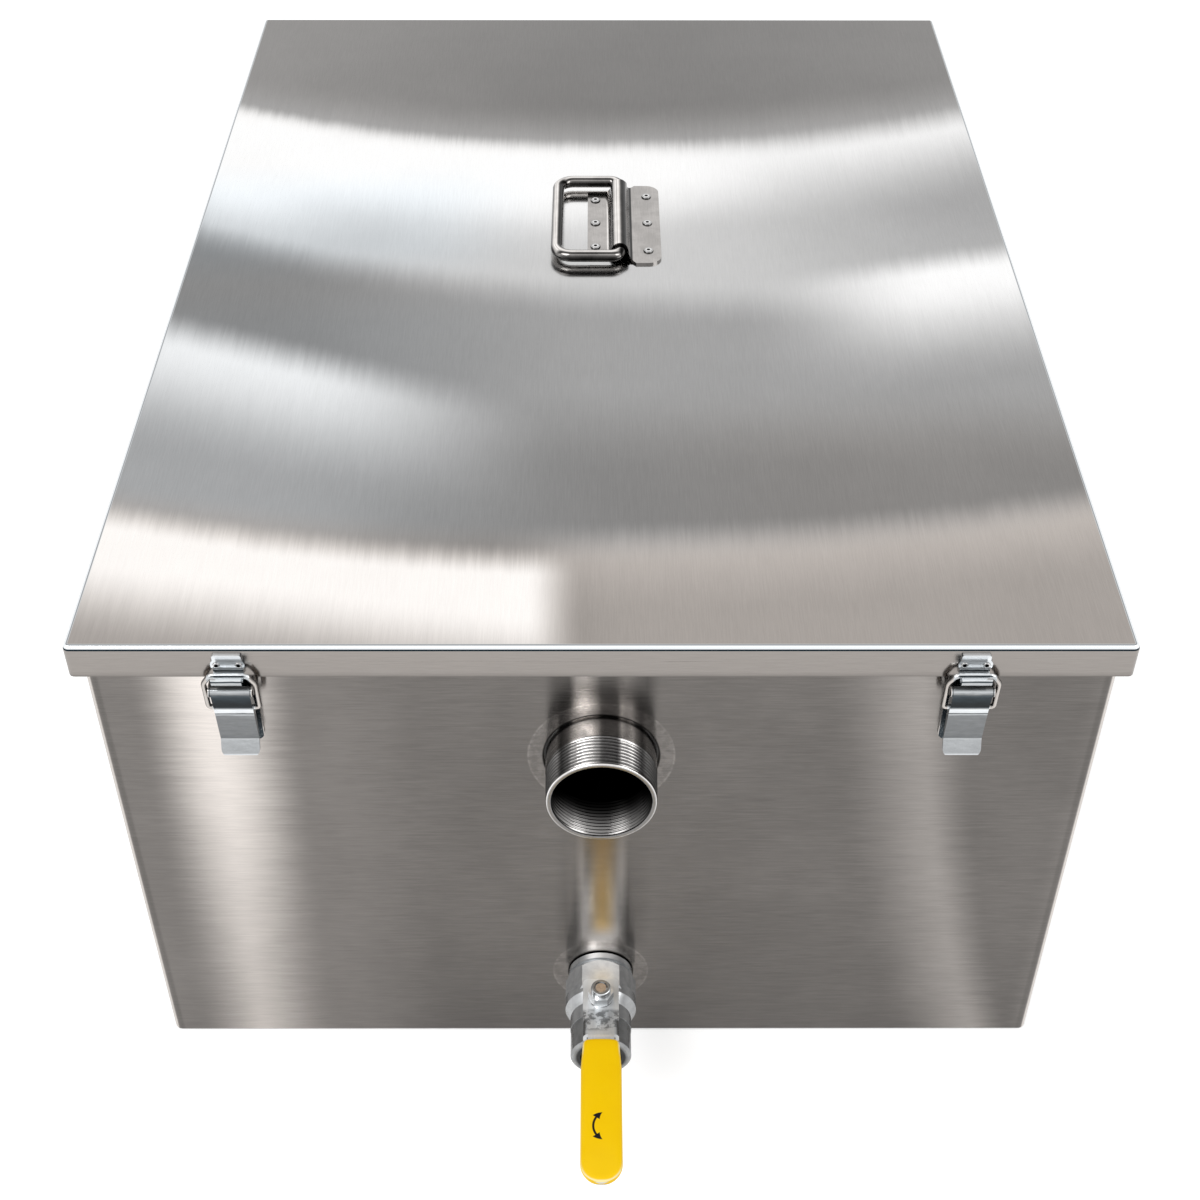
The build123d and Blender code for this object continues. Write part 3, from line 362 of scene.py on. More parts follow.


# Lid: cross-brushed sheet with broad soft painted sheens, painted reflections in its colour. Their edges are
# in millimetres, tones run from 0 to 255.
lidFinish = {
    "base": 117.0,
    "grain": (1.5, 0.05, 0.2),
    "skirtGrain": (0.05, 0.05, 1.5),
    "feather": 3.0,
    "roughness": (0.14, 0.18),
    "bump": (0.02, 0.2),
    "fine": 7.0,
    "cloud": 3.0,
    "skirtFine": 10.0,
    "baseWarm": 0.4,
    "skirtWarm": 0.9,
    "foldWarm": (-0.4, -4.5),
    "paintedDarkLine": (333.38, 334.34),
    "skirtTop": (333.42, 333.34),
    "foldTop": (335.995, 335.97),
    "paintedSheens": [
        {"edge": 900, "soft": 10, "fade": (700, 100), "side": (40, -330), "level": 137},
        {"edge": 900, "soft": 10, "fade": (700, 100), "side": (40, 300), "level": 127},
        {"edge": 180, "bow": 0.00070, "soft": 96, "fade": (60, 100), "level": 176},
        {"edge": 146, "bow": 0.0008, "soft": 40, "level": 204},
        {"edge": 146, "bow": 0.0008, "soft": 40, "fade": (0, 420), "side": (40, 300), "level": 150},
        {"edge": 149, "bow": 0.0008, "soft": 44, "fade": (4, 122), "level": 244},
        {"edge": 149, "bow": 0.0008, "soft": 44, "fade": (30, 85), "side": (160, 40), "level": 252},
        {"edge": 149, "bow": 0.0008, "soft": 44, "fade": (42, 115), "side": (90, -30), "level": 254},
        {"edge": 149, "bow": 0.0008, "soft": 44, "fade": (100, 80), "side": (-150, -260), "level": 254},
        {"edge": -50, "tilt": -0.125, "bow": 0.0006, "soft": 56, "level": 160},
        {"edge": -50, "tilt": -0.125, "bow": 0.0006, "soft": 46, "side": (10, -240), "level": 133},
        {"edge": -190, "soft": 90, "level": 133},
        {"edge": -193, "tilt": -0.40, "soft": 44, "side": (0, -200), "level": 165},
        {"edge": -62, "tilt": 0.26, "soft": 34, "fade": (22, 120), "side": (85, 225), "level": 254},
        {"edge": -193, "tilt": -0.40, "soft": 44, "fade": (15, 110), "side": (-20, -195), "level": 240},
        {"edge": -294, "bow": 0.00046, "soft": 36, "side": (-70, 20), "level": 160},
        {"edge": -294, "bow": 0.00046, "soft": 36, "fade": (5, 60), "side": (-70, 20), "level": 182},
        {"edge": -312, "bow": 0.00056, "soft": 28, "side": (-8, -40), "level": 251},
        {"edge": -395, "tilt": -0.19, "soft": 64, "side": (-8, -38), "level": 160},
    ],
    # Warmth of the painted reflections: the front is warm, the painted light zone left of the handle is cool
    "warm": [
        {"edge": 170, "bow": 0.0008, "soft": 90, "level": 0.05},
        {"edge": 110, "soft": 60, "fade": (90, 60), "side": (-20, -130), "level": -0.5},
        {"edge": -60, "soft": 60, "side": (0, -160), "level": -0.2},
        {"edge": -180, "soft": 80, "side": (-100, 160), "level": 0.45},
        {"edge": -298, "bow": 0.0005, "soft": 40, "level": 1.0},
        {"edge": -312, "bow": 0.00056, "soft": 28, "side": (-8, -40), "level": 0.45},
        {"edge": -395, "tilt": -0.19, "soft": 64, "side": (-8, -38), "level": 0.9},
    ],
    # Painted reflections by height over the outer bend of the edge: a painted dark line, a painted highlight
    # above it and a lighter line at the top
    "fold": [
        (333.30, 150), (333.38, 42), (334.30, 46), (334.40, 246), (335.70, 252), (335.80, 152),
        (335.92, 150), (335.96, 210), (336.0, 210),
    ],
    "skirt": [(315.6, 118), (316.6, 138), (319.0, 149), (333.3, 151)],
}


def lidSteel():
    f = lidFinish
    tree, shader, place = newFinish("lid_steel", Metallic=1.0, Anisotropic=0.85)
    x, y, z = apart(tree, place)
    grain = useGroup(tree, grainGroup, Place=place, Stretch=f["grain"])
    skirtGrain = useGroup(tree, grainGroup, Place=place, Stretch=f["skirtGrain"])
    marks = useGroup(tree, wearGroup, Place=place, Size=1.0)
    top = addPaintedSheens(tree, f["base"], x, vary(tree, y, grain["Coarse"], f["feather"]), f["paintedSheens"])
    top = vary(tree, top, grain["Fine"], f["fine"])
    top = vary(tree, top, marks["Cloud"], f["cloud"])
    topWarm = addPaintedSheens(tree, f["baseWarm"], x, y, f["warm"])
    # Painted highlight and painted dark line on the outer bend, and the skirt below it, darker towards its
    # foot
    skirt = vary(tree, toneCurve(tree, z, f["skirt"]), skirtGrain["Fine"], f["skirtFine"])
    onSkirt = remap(tree, z, *f["skirtTop"])
    onFold = remap(tree, z, *f["foldTop"])
    fold = blend(tree, onSkirt, toneCurve(tree, z, f["fold"]), skirt)
    level = blend(tree, onFold, top, fold)
    # The painted dark line on the bend is tinted cool
    foldWarm = blend(tree, band(tree, z, *f["paintedDarkLine"], 0.05), *f["foldWarm"])
    warm = blend(tree, onFold, topWarm, blend(tree, onSkirt, foldWarm, f["skirtWarm"]))
    paint(tree, shader, f, steelColour(tree, level, warm), grain["Fine"], grain["Height"])
    tangentAlong(tree, shader, (1, 0, 0))


# Tank: horizontally brushed walls with upright soft painted sheens, painted reflections whose edges are lines
# over the height
tankFinish = {
    "base": 108.0,
    "low": -4.0,
    "grain": (0.05, 0.05, 1.5),
    "feather": 3.0,
    "roughness": (0.19, 0.25),
    "bump": (0.02, 0.25),
    "fine": 15.0,
    "cloud": 6.0,
    "warm": 0.8,
    # Painted shade beside the corners and along the foot, a painted highlight on the bend, the painted light
    # patch, and the painted shadow in each pipe joint
    "cornerLine": (262.5, 265.5),
    "cornerShade": 98.0,
    "cornerShare": 0.6,
    "bendHighlight": 205.0,
    "footShade": 78.0,
    "glowHighlight": 215.0,
    "reflectionShare": 0.8,
    "jointShadow": 8.0,
    # Painted sheens on the front and back walls, then on the side walls
    "front": [
        {"edge": 300, "soft": 10, "fade": (150, 60), "flip": True, "level": 119},
        {"edge": 231, "tilt": -0.02, "soft": 46, "fade": (12, 54), "flip": True, "level": 188},
        {
            "edge": 231, "tilt": -0.02, "soft": 46, "fade": (16, 50), "side": (0, 330),
            "flip": True, "level": 230,
        },
        {"edge": 246, "tilt": -0.31, "bow": 0.0003, "soft": 28, "fade": (8, 56), "level": 150},
        {"edge": 275, "soft": 10, "fade": (6, 16), "level": 117},
    ],
    "side": [
        {"edge": 420, "soft": 10, "fade": (190, 90), "flip": True, "level": 128},
        {"edge": 300, "tilt": -0.05, "soft": 60, "fade": (24, 80), "flip": True, "level": 186},
        {
            "edge": 300, "tilt": -0.05, "soft": 60, "fade": (30, 70), "side": (0, 330),
            "flip": True, "level": 236,
        },
        {"edge": 300, "tilt": -0.3, "bow": 0.0003, "soft": 40, "fade": (16, 76), "level": 160},
    ],
    # Heights of the three pipes, and where the stain round each begins and ends
    "axes": {"front": 250.0, "rear": 265.0, "drain": 61.0},
    "stains": {"front": (30.15, 39.7), "rear": (30.15, 39.7), "drain": (18.0, 28.5)},
    # Painted reflections that the pipe and the lever throw on the brushed wall: change of level against x
    "pipeReflection": [
        (-30, 0), (-24, -16), (-17, -8), (-13, 62), (-8, 82), (-3, 50), (0, 24), (6, 18), (13, 32), (19, 2),
        (24, -20), (31, 0),
    ],
    "leverReflection": [
        (-28, 0), (-21, -10), (-15, 4), (-11, 66), (-7, 60), (-3, 72), (3, 84), (8, 66), (12, 58), (16, -12),
        (23, -8), (30, 0),
    ],
    # Where they lie, by x or by height: pairs to rise and fall over, or both ends and a soft edge
    "pipeReflectionZ": (285.0, 330.0, 6.0),
    "leverReflectionZ": ((80.0, 92.0), (222.0, 105.0)),
    # A painted light patch just above the drain: where it lies
    "glowX": (-9.0, 9.0, 8.0),
    "glowZ": (74.0, 92.0, 6.0),
    # The painted reflection of the yellow lever: its colour and where it lies
    "goldReflection": (0.82, 0.56, 0.22),
    "goldX": (-4.0, 6.0, 5.0),
    "goldZ": ((92.0, 108.0), (205.0, 125.0)),
}


def signedCurve(tree, value, stops):
    # A change of level, up or down, against a value
    lifted = [(at, change + 128) for at, change in stops]
    return minus(tree, toneCurve(tree, value, lifted), 128.0)


def tankSteel():
    f = tankFinish
    tree, shader, place = newFinish("tank_steel", Metallic=1.0, Anisotropic=0.85)
    x, y, z = apart(tree, place)
    nx, ny = facing(tree)[:2]
    sideways = calc(tree, "ABSOLUTE", nx)
    endways = calc(tree, "ABSOLUTE", ny)
    grain = useGroup(tree, grainGroup, Place=place, Stretch=f["grain"])
    marks = useGroup(tree, wearGroup, Place=place, Size=1.0)
    base = calc(tree, "ADD", remap(tree, z, 120.0, 0.0, 0.0, f["low"]), f["base"])
    ends = addPaintedSheens(tree, base, z, vary(tree, x, grain["Coarse"], f["feather"]), f["front"])
    sides = addPaintedSheens(tree, base, z, vary(tree, y, grain["Coarse"], f["feather"]), f["side"])
    level = blend(tree, remap(tree, sideways, 0.6, 0.8), ends, sides)
    # A painted dark line beside each corner, a painted highlight on the bend and a painted shade line along
    # the foot
    beside = band(tree, calc(tree, "ABSOLUTE", x), *f["cornerLine"], 1.0)
    level = blend(tree, product(tree, beside, f["cornerShare"]), level, f["cornerShade"])
    bend = remap(tree, product(tree, sideways, endways), 0.25, 0.45)
    level = blend(tree, bend, level, f["bendHighlight"])
    level = blend(tree, remap(tree, z, 1.6, 0.6), level, f["footShade"])
    level = vary(tree, level, grain["Fine"], f["fine"])
    level = vary(tree, level, marks["Cloud"], f["cloud"])
    # Painted reflections: streaks above the pipe ends, the lever's streaks between the drain and the outlet,
    # and a painted light patch just above the drain
    onEnd = remap(tree, endways, 0.8, 0.95)
    onFront = product(tree, onEnd, calc(tree, "LESS_THAN", y, 0.0))
    onRear = minus(tree, onEnd, onFront)
    above = product(tree, onEnd, band(tree, z, *f["pipeReflectionZ"]))
    level = calc(tree, "MULTIPLY_ADD", signedCurve(tree, x, f["pipeReflection"]), above, level)
    below = product(tree, onFront, between(tree, z, *f["leverReflectionZ"]))
    level = calc(tree, "MULTIPLY_ADD", signedCurve(tree, x, f["leverReflection"]), below, level)
    glow = product(tree, onFront, band(tree, z, *f["glowZ"]), band(tree, x, *f["glowX"]), f["reflectionShare"])
    level = blend(tree, glow, level, f["glowHighlight"])
    # Mottled weld stain and its pale outline round each pipe, and a painted shadow in the gap where each pipe
    # meets the wall
    mottle = remap(tree, noise(tree, place, 0.28, 4.0, 0.65), 0.35, 0.65)
    for name, side in (("front", onFront), ("rear", onRear), ("drain", onFront)):
        pipe, edge = f["stains"][name]
        away = distance(tree, x, minus(tree, z, f["axes"][name]))
        stain = product(tree, band(tree, away, pipe, edge, 1.0), calc(tree, "MULTIPLY_ADD", mottle, 13.0, 2.0))
        rim = band(tree, away, edge - 0.5, edge + 0.5, 0.5)
        rim = product(tree, rim, remap(tree, mottle, 0.0, 1.0, 5, 20))
        level = calc(tree, "MULTIPLY_ADD", calc(tree, "ADD", stain, rim), side, level)
        jointShadowMask = product(tree, remap(tree, away, pipe + 2.4, pipe + 1.0), side)
        level = blend(tree, jointShadowMask, level, f["jointShadow"])
    # Painted reflection of the yellow lever on the front wall, below the outlet
    goldReflection = product(tree, onFront, band(tree, x, *f["goldX"]), between(tree, z, *f["goldZ"]), f["reflectionShare"])
    colour = mixColour(tree, goldReflection, steelColour(tree, level, f["warm"]), f["goldReflection"])
    paint(tree, shader, f, colour, grain["Fine"], grain["Height"])
    tangentAlong(tree, shader, (0, 0, 1))


# Pipe ends: painted reflections as bright and dark lines along the pipe by x over the radius, painted shade in
# the thread roots, painted shade inside with painted light on the crests near the mouth, and a painted
# highlight ring on the mouth
pipeFinish = {
    "outside": [
        (-1.0, 60), (-0.92, 110), (-0.8, 157), (-0.72, 70), (-0.6, 130), (-0.5, 240), (-0.35, 250),
        (-0.17, 246), (-0.05, 190), (0.0, 130), (0.05, 112), (0.28, 112), (0.36, 245), (0.45, 205),
        (0.55, 236), (0.62, 160), (0.72, 85), (0.8, 130), (0.9, 95), (1.0, 60),
    ],
    "mouth": 408.0,
    "mouthRing": [(26.6, 205), (27.1, 128), (28.3, 134), (28.8, 176), (29.1, 238), (29.8, 215)],
    "rootRadius": 28.9,
    "crestRadius": 29.9,
    "threadShadeShares": (0.5, 0.84),
    "threadFrom": (387.0, 388.5),
    "drainBelow": 140.0,
    "lightDepth": (24.0, 2.0),
    "innerShade": 5.0,
    "innerRoot": 8.0,
    "innerCrest": 116.0,
    "leftCrest": 52.0,
    "speck": 40.0,
    "warm": 0.3,
    "roughness": (0.16, 0.28),
    "bump": (0.03, 0.5),
}


def pipeSteel():
    f = pipeFinish
    axes = tankFinish["axes"]
    tree, shader, place = newFinish("pipe_steel", Metallic=1.0)
    x, y, z = apart(tree, place)
    nx, ny, nz = facing(tree)
    front = calc(tree, "LESS_THAN", y, 0.0)
    low = calc(tree, "LESS_THAN", z, f["drainBelow"])
    large = minus(tree, 1.0, low)
    axis = blend(tree, low, blend(tree, front, axes["rear"], axes["front"]), axes["drain"])
    up = minus(tree, z, axis)
    along = calc(tree, "ABSOLUTE", y)
    away, outward = roundAxis(tree, x, up, nx, nz)
    across = calc(tree, "DIVIDE", x, away)
    rings = noise(tree, stretch(tree, place, (0.02, 2.4, 0.02)), 1.0, 4.0, 0.7)
    speck = noise(tree, place, 0.7, 4.0, 0.7)
    level = toneCurve(tree, vary(tree, across, rings, 0.05), f["outside"])
    # Painted shade in the thread roots
    threaded = product(tree, remap(tree, along, *f["threadFrom"]), large)
    crest = remap(tree, away, f["rootRadius"], f["crestRadius"], *f["threadShadeShares"])
    level = product(tree, level, blend(tree, threaded, 1.0, crest))
    level = vary(tree, level, speck, f["speck"])
    # Inside, where the surface looks back to the axis: painted shade, with painted light on the lower crests
    # near the mouth
    depth = minus(tree, f["mouth"], along)
    near = remap(tree, depth, *f["lightDepth"])
    lower = remap(tree, calc(tree, "DIVIDE", up, away), 0.0, -1.0)
    forward = product(tree, ny, blend(tree, front, 1.0, -1.0))
    left = remap(tree, across, 0.1, -0.6)
    groove = remap(tree, forward, -0.05, 0.4)
    crests = product(tree, groove, calc(tree, "MULTIPLY_ADD", left, f["leftCrest"], f["innerCrest"]))
    lit = product(tree, near, lower, calc(tree, "ADD", crests, f["innerRoot"]))
    inner = calc(tree, "ADD", lit, f["innerShade"])
    level = blend(tree, remap(tree, outward, 0.02, -0.1), level, inner)
    # A painted highlight ring on the mouth, by its radius
    onMouth = product(tree, remap(tree, depth, 0.9, 0.6), remap(tree, forward, 0.3, 0.6), large)
    ring = vary(tree, toneCurve(tree, away, f["mouthRing"]), speck, f["speck"])
    level = blend(tree, onMouth, level, ring)
    paint(tree, shader, f, steelColour(tree, level, f["warm"]), rings, rings, (0.3, 0.7))


# Ball valve: cast and machined, painted light on the facets above and painted cool grey shade on the ones at
# the sides
valveFinish = {
    "tones": [
        (-1.0, 120), (-0.93, 168), (-0.86, 190), (-0.7, 176), (-0.55, 200), (-0.4, 226), (-0.2, 248),
        (-0.02, 246), (0.1, 220), (0.3, 214), (0.45, 190), (0.6, 160), (0.8, 180), (0.9, 166), (1.0, 112),
    ],
    "neckFrom": -418.0,
    # Tone of the faces that look forward, by distance from the bore's axis: painted shade in the mouth,
    # painted highlight on the rim
    "faces": [(0.0, 16), (14.0, 20), (14.8, 110), (16.0, 150), (17.0, 176), (22.0, 176)],
    "under": 96.0,
    "neckTone": 100.0,
    "inside": 14.0,
    "cloud": 14.0,
    "pits": 4.0,
    "warm": -0.25,
    "roughness": (0.2, 0.26),
    "bump": (0.01, 0.1),
}


def valveSteel():
    f = valveFinish
    tree, shader, place = newFinish("valve_steel", Metallic=0.6)
    x, y, z = apart(tree, place)
    nx, ny, nz = facing(tree)
    away, outward = roundAxis(tree, x, minus(tree, z, tankFinish["axes"]["drain"]), nx, nz)
    pits = noise(tree, place, 1.4, 5.0, 0.65)
    cloud = noise(tree, place, 0.22, 3.0, 0.55)
    level = toneCurve(tree, nx, f["tones"])
    # Painted shade underneath, and a darker neck
    level = blend(tree, remap(tree, nz, 0.1, -0.5), level, f["under"])
    neck = remap(tree, y, f["neckFrom"] + 1.0, f["neckFrom"] - 1.0)
    level = blend(tree, product(tree, neck, 0.4), level, f["neckTone"])
    ahead = remap(tree, ny, -0.5, -0.85)
    level = blend(tree, product(tree, ahead, 0.9), level, toneCurve(tree, away, f["faces"]))
    level = vary(tree, level, remap(tree, cloud, 0.35, 0.65), f["cloud"])
    level = vary(tree, level, remap(tree, pits, 0.35, 0.65), f["pits"])
    # Painted shade inside the bore
    level = blend(tree, remap(tree, outward, -0.1, -0.4), level, f["inside"])
    paint(tree, shader, f, steelColour(tree, level, f["warm"]), pits, pits, (0.3, 0.7))


# Lever plate: painted light, brighter to one side, with painted smoky reflections and a lighter slope where it
# bends, painted shade on its edges and underneath
leverFinish = {
    "grain": (1.2, 0.08, 0.5),
    "across": (246.0, 222.0),
    "bend": (-443.0, -422.5),
    "smokyReflection": 118.0,
    "slope": 160.0,
    "rim": 88.0,
    "under": 80.0,
    "fine": 14.0,
    "warm": -0.3,
    "roughness": (0.2, 0.26),
    "bump": (0.01, 0.2),
}


def leverSteel():
    f = leverFinish
    tree, shader, place = newFinish("lever_steel", Metallic=0.45)
    x, y = apart(tree, place)[:2]
    nx, ny, nz = facing(tree)
    grain = useGroup(tree, grainGroup, Place=place, Stretch=f["grain"])
    smokyReflection = remap(tree, noise(tree, stretch(tree, place, (1.0, 0.7, 0.7)), 0.22, 3.0, 0.6), 0.44, 0.6)
    level = remap(tree, x, -9.0, 9.0, *f["across"])
    bend = band(tree, y, *f["bend"], 3.0)
    level = blend(tree, product(tree, bend, smokyReflection, 0.8), level, f["smokyReflection"])
    level = blend(tree, product(tree, bend, remap(tree, ny, -0.2, -0.6), 0.3), level, f["slope"])
    level = blend(tree, remap(tree, calc(tree, "ABSOLUTE", nx), 0.3, 0.8), level, f["rim"])
    level = blend(tree, remap(tree, nz, 0.1, -0.4), level, f["under"])
    level = vary(tree, level, grain["Fine"], f["fine"])
    paint(tree, shader, f, steelColour(tree, level, f["warm"]), grain["Fine"], grain["Height"])


# Stem, nut and washer: painted reflections on the polished flanks, painted light on the flats, tarnished stem
# end
stemFinish = {
    "axisY": -412.5,
    "flat": (150.0, 252.0),
    "end": (168.0, 200.0),
    "speck": 40.0,
    "warm": (-0.3, 1.9),
    "roughness": (0.1, 0.2),
    "bump": (0.02, 0.3),
    "tones": [
        (-1.0, 88), (-0.7, 250), (-0.45, 120), (-0.1, 215), (0.2, 70), (0.45, 235), (0.75, 245), (1.0, 90),
    ],
}


def stemSteel():
    f = stemFinish
    tree, shader, place = newFinish("stem_steel", Metallic=0.65)
    x, y = apart(tree, place)[:2]
    nx, ny, nz = facing(tree)
    speck = noise(tree, place, 1.1, 3.0, 0.6)
    away = distance(tree, x, minus(tree, y, f["axisY"]))
    turn = minus(tree, product(tree, nx, 0.6), product(tree, ny, 0.8))
    above = remap(tree, nz, 0.75, 0.95)
    level = blend(tree, above, toneCurve(tree, turn, f["tones"]), remap(tree, away, 4.4, 6.4, *f["flat"]))
    level = vary(tree, level, speck, f["speck"])
    end = product(tree, above, remap(tree, away, 4.2, 3.8))
    level = blend(tree, end, level, remap(tree, speck, 0.35, 0.65, *f["end"]))
    colour = steelColour(tree, level, blend(tree, end, *f["warm"]))
    paint(tree, shader, f, colour, speck, speck, (0.3, 0.7))


# Polished handle: painted reflections, narrow bright and dark bands along the rod and the hump, plain warm
# flats, and painted reflection and shade underneath
handleFinish = {
    "alongY": [
        (-1.0, 12), (-0.84, 24), (-0.74, 150), (-0.56, 205), (-0.42, 250), (-0.3, 190), (-0.2, 250),
        (-0.06, 230), (0.06, 146), (0.18, 92), (0.3, 36), (0.5, 8), (0.68, 20),
        (0.8, 112), (0.92, 70), (1.0, 16),
    ],
    "alongX": [
        (-1.0, 40), (-0.86, 96), (-0.74, 156), (-0.62, 60), (-0.46, 70), (-0.32, 200), (-0.14, 252),
        (0.0, 246), (0.1, 136), (0.24, 150), (0.45, 186), (0.7, 104), (0.88, 40), (1.0, 18),
    ],
    "flat": 176.0,
    "flangeEdge": 130.0,
    "grain": (1.2, 0.06, 1.2),
    "fine": 14.0,
    "cloud": 16.0,
    "warm": 0.5,
    "roughness": (0.08, 0.15),
    "bump": (0.01, 0.3),
    "under": [(-1.0, 165), (-0.62, 150), (-0.4, 60), (-0.1, 12)],
    "flangeTop": 338.6,
}


def handleSteel():
    f = handleFinish
    tree, shader, place = newFinish("handle_steel", Metallic=1.0)
    z = apart(tree, place)[2]
    nx, ny, nz = facing(tree)
    grain = useGroup(tree, grainGroup, Place=place, Stretch=f["grain"])
    marks = useGroup(tree, wearGroup, Place=place, Size=6.0)
    lengthways = minus(tree, calc(tree, "ABSOLUTE", ny), calc(tree, "ABSOLUTE", nx))
    lengthways = remap(tree, lengthways, -0.15, 0.15)
    level = blend(tree, lengthways, toneCurve(tree, nx, f["alongY"]), toneCurve(tree, ny, f["alongX"]))
    level = blend(tree, remap(tree, nz, 0.06, -0.06), level, toneCurve(tree, nz, f["under"]))
    flange = remap(tree, z, f["flangeTop"] + 0.1, f["flangeTop"] - 0.1)
    level = blend(tree, product(tree, flange, remap(tree, nz, 0.9, 0.97)), level, f["flat"])
    level = blend(tree, product(tree, flange, band(tree, nz, -0.3, 0.4, 0.1)), level, f["flangeEdge"])
    level = vary(tree, level, grain["Fine"], f["fine"])
    level = vary(tree, level, marks["Cloud"], f["cloud"])
    paint(tree, shader, f, steelColour(tree, level, f["warm"]), grain["Fine"], grain["Height"])


# Rivets: painted highlight ring, painted shade in the dark eye. The lid's six stand on the bracket, the eight
# small ones on the keepers.
rivetFinish = {
    "middle": (14.65, 44.3),
    "columns": (-3.05, 32.35),
    "spacing": (31.3, 36.5),
    "keeperX": 191.5,
    "keeperApart": 5.7,
    "keeperZ": 325.1,
    "keepersFrom": 300.0,
    "speck": 30.0,
    "warm": 0.1,
    "roughness": (0.12, 0.22),
    "bump": (0.02, 0.3),
    "lid": [
        (0.0, 8), (0.85, 14), (1.1, 130), (1.4, 240), (1.9, 226), (2.5, 170), (3.0, 196), (3.3, 90), (3.6, 60),
    ],
    "keeper": [(0.0, 4), (0.85, 8), (1.05, 130), (1.25, 240), (1.6, 210), (1.9, 130), (2.4, 110)],
}


def rivetSteel():
    f = rivetFinish
    tree, shader, place = newFinish("rivet_steel", Metallic=1.0)
    x, y, z = apart(tree, place)
    speck = noise(tree, place, 0.9, 3.0, 0.6)
    # The nearest of the bracket's six, by its column and its distance from the middle one
    right = calc(tree, "GREATER_THAN", x, f["middle"][0])
    alongX = minus(tree, x, blend(tree, right, *f["columns"]))
    fromMiddle = gap(tree, y, f["middle"][1])
    fromEnd = gap(tree, fromMiddle, blend(tree, right, *f["spacing"]))
    onLid = toneCurve(tree, distance(tree, alongX, calc(tree, "MINIMUM", fromMiddle, fromEnd)), f["lid"])
    keeperX = gap(tree, calc(tree, "ABSOLUTE", x), f["keeperX"])
    keeperX = minus(tree, keeperX, f["keeperApart"])
    onKeeper = toneCurve(tree, distance(tree, keeperX, minus(tree, z, f["keeperZ"])), f["keeper"])
    atEnds = calc(tree, "GREATER_THAN", calc(tree, "ABSOLUTE", y), f["keepersFrom"])
    level = vary(tree, blend(tree, atEnds, onLid, onKeeper), speck, f["speck"])
    paint(tree, shader, f, steelColour(tree, level, f["warm"]), speck, speck, (0.3, 0.7))


# Latches: plated pressings. Painted reflections and shade as tones by height, then the wire loop, the painted
# shade on the cheeks and on the base behind.
latchFinish = {
    "middle": 191.5,
    "tones": [
        (262.0, 196), (264.6, 232), (265.2, 176), (271.8, 184), (272.6, 198), (273.2, 118), (275.0, 126),
        (288.0, 132), (291.4, 138), (292.4, 220), (293.2, 62), (293.8, 240), (296.4, 250), (297.6, 130),
        (298.6, 22), (302.0, 30), (306.6, 58), (308.4, 84), (309.6, 150), (310.6, 214), (311.8, 120),
        (313.0, 160), (316.0, 176), (317.4, 168), (320.5, 205), (320.9, 60), (321.5, 56), (322.0, 246),
        (324.0, 236), (328.0, 240), (330.0, 246), (333.0, 200),
    ],
    "tabTop": 272.6,
    "bladeTop": 292.0,
    "wireFrom": 10.9,
    "wallFace": 374.0,
    "leverFrom": 5.4,
    "lipZ": (312.0, 314.0),
    "baseZ": (314.0, 312.6),
    "wire": [(-1, 40), (-0.8, 62), (-0.45, 190), (0.3, 206), (0.7, 120), (1, 34)],
    "edge": 222.0,
    "cheek": 62.0,
    "lip": 236.0,
    "glint": (52.0, 210.0),
    "smear": 36.0,
    "stipple": 60.0,
    "warm": (-4.0, -0.4),
    "wireWarm": 0.8,
    "roughness": (0.1, 0.3),
    "bump": (0.02, 0.35),
}


def latchSteel():
    f = latchFinish
    tree, shader, place = newFinish("latch_steel", Metallic=0.7)
    x, y, z = apart(tree, place)
    nx, _, nz = facing(tree)
    width = gap(tree, calc(tree, "ABSOLUTE", x), f["middle"])
    proud = minus(tree, calc(tree, "ABSOLUTE", y), f["wallFace"])
    sideways = calc(tree, "ABSOLUTE", nx)
    speck = noise(tree, place, 2.2, 3.0, 0.6)
    smear = noise(tree, stretch(tree, place, (0.25, 1.0, 1.0)), 0.55, 3.0, 0.6)
    level = toneCurve(tree, vary(tree, z, smear, 0.8), f["tones"])
    level = vary(tree, level, smear, f["smear"])
    # Painted highlight on the bent edges, painted shade on the cheeks
    level = blend(tree, product(tree, band(tree, sideways, 0.2, 0.55, 0.08), 0.85), level, f["edge"])
    level = blend(tree, remap(tree, sideways, 0.6, 0.85), level, f["cheek"])
    # Painted highlight on the keeper's upward faces
    lip = product(tree, remap(tree, nz, 0.6, 0.9), remap(tree, z, *f["lipZ"]))
    level = blend(tree, lip, level, f["lip"])
    # The base stands behind the lever: painted shade, with small painted glints
    behind = remap(tree, proud, f["leverFrom"], f["leverFrom"] - 0.3)
    behind = product(tree, behind, remap(tree, z, *f["baseZ"]))
    level = blend(tree, behind, level, remap(tree, speck, 0.6, 0.68, *f["glint"]))
    # The wire loop: painted highlight along its middle, painted shade at both sides
    wire = remap(tree, width, f["wireFrom"], f["wireFrom"] + 0.3)
    level = blend(tree, wire, level, toneCurve(tree, nx, f["wire"]))
    # The lever's end tab is stippled
    tab = product(tree, remap(tree, z, f["tabTop"] + 0.4, f["tabTop"] - 0.4), remap(tree, proud, 5.0, 5.5))
    level = vary(tree, level, speck, product(tree, tab, f["stipple"]))
    warm = blend(tree, wire, remap(tree, level, 30.0, 130.0, *f["warm"]), f["wireWarm"])
    satin = remap(tree, z, f["bladeTop"] + 0.5, f["bladeTop"] - 0.5)
    satin = product(tree, satin, minus(tree, 1.0, wire))
    paint(tree, shader, f, steelColour(tree, level, warm), satin, speck)


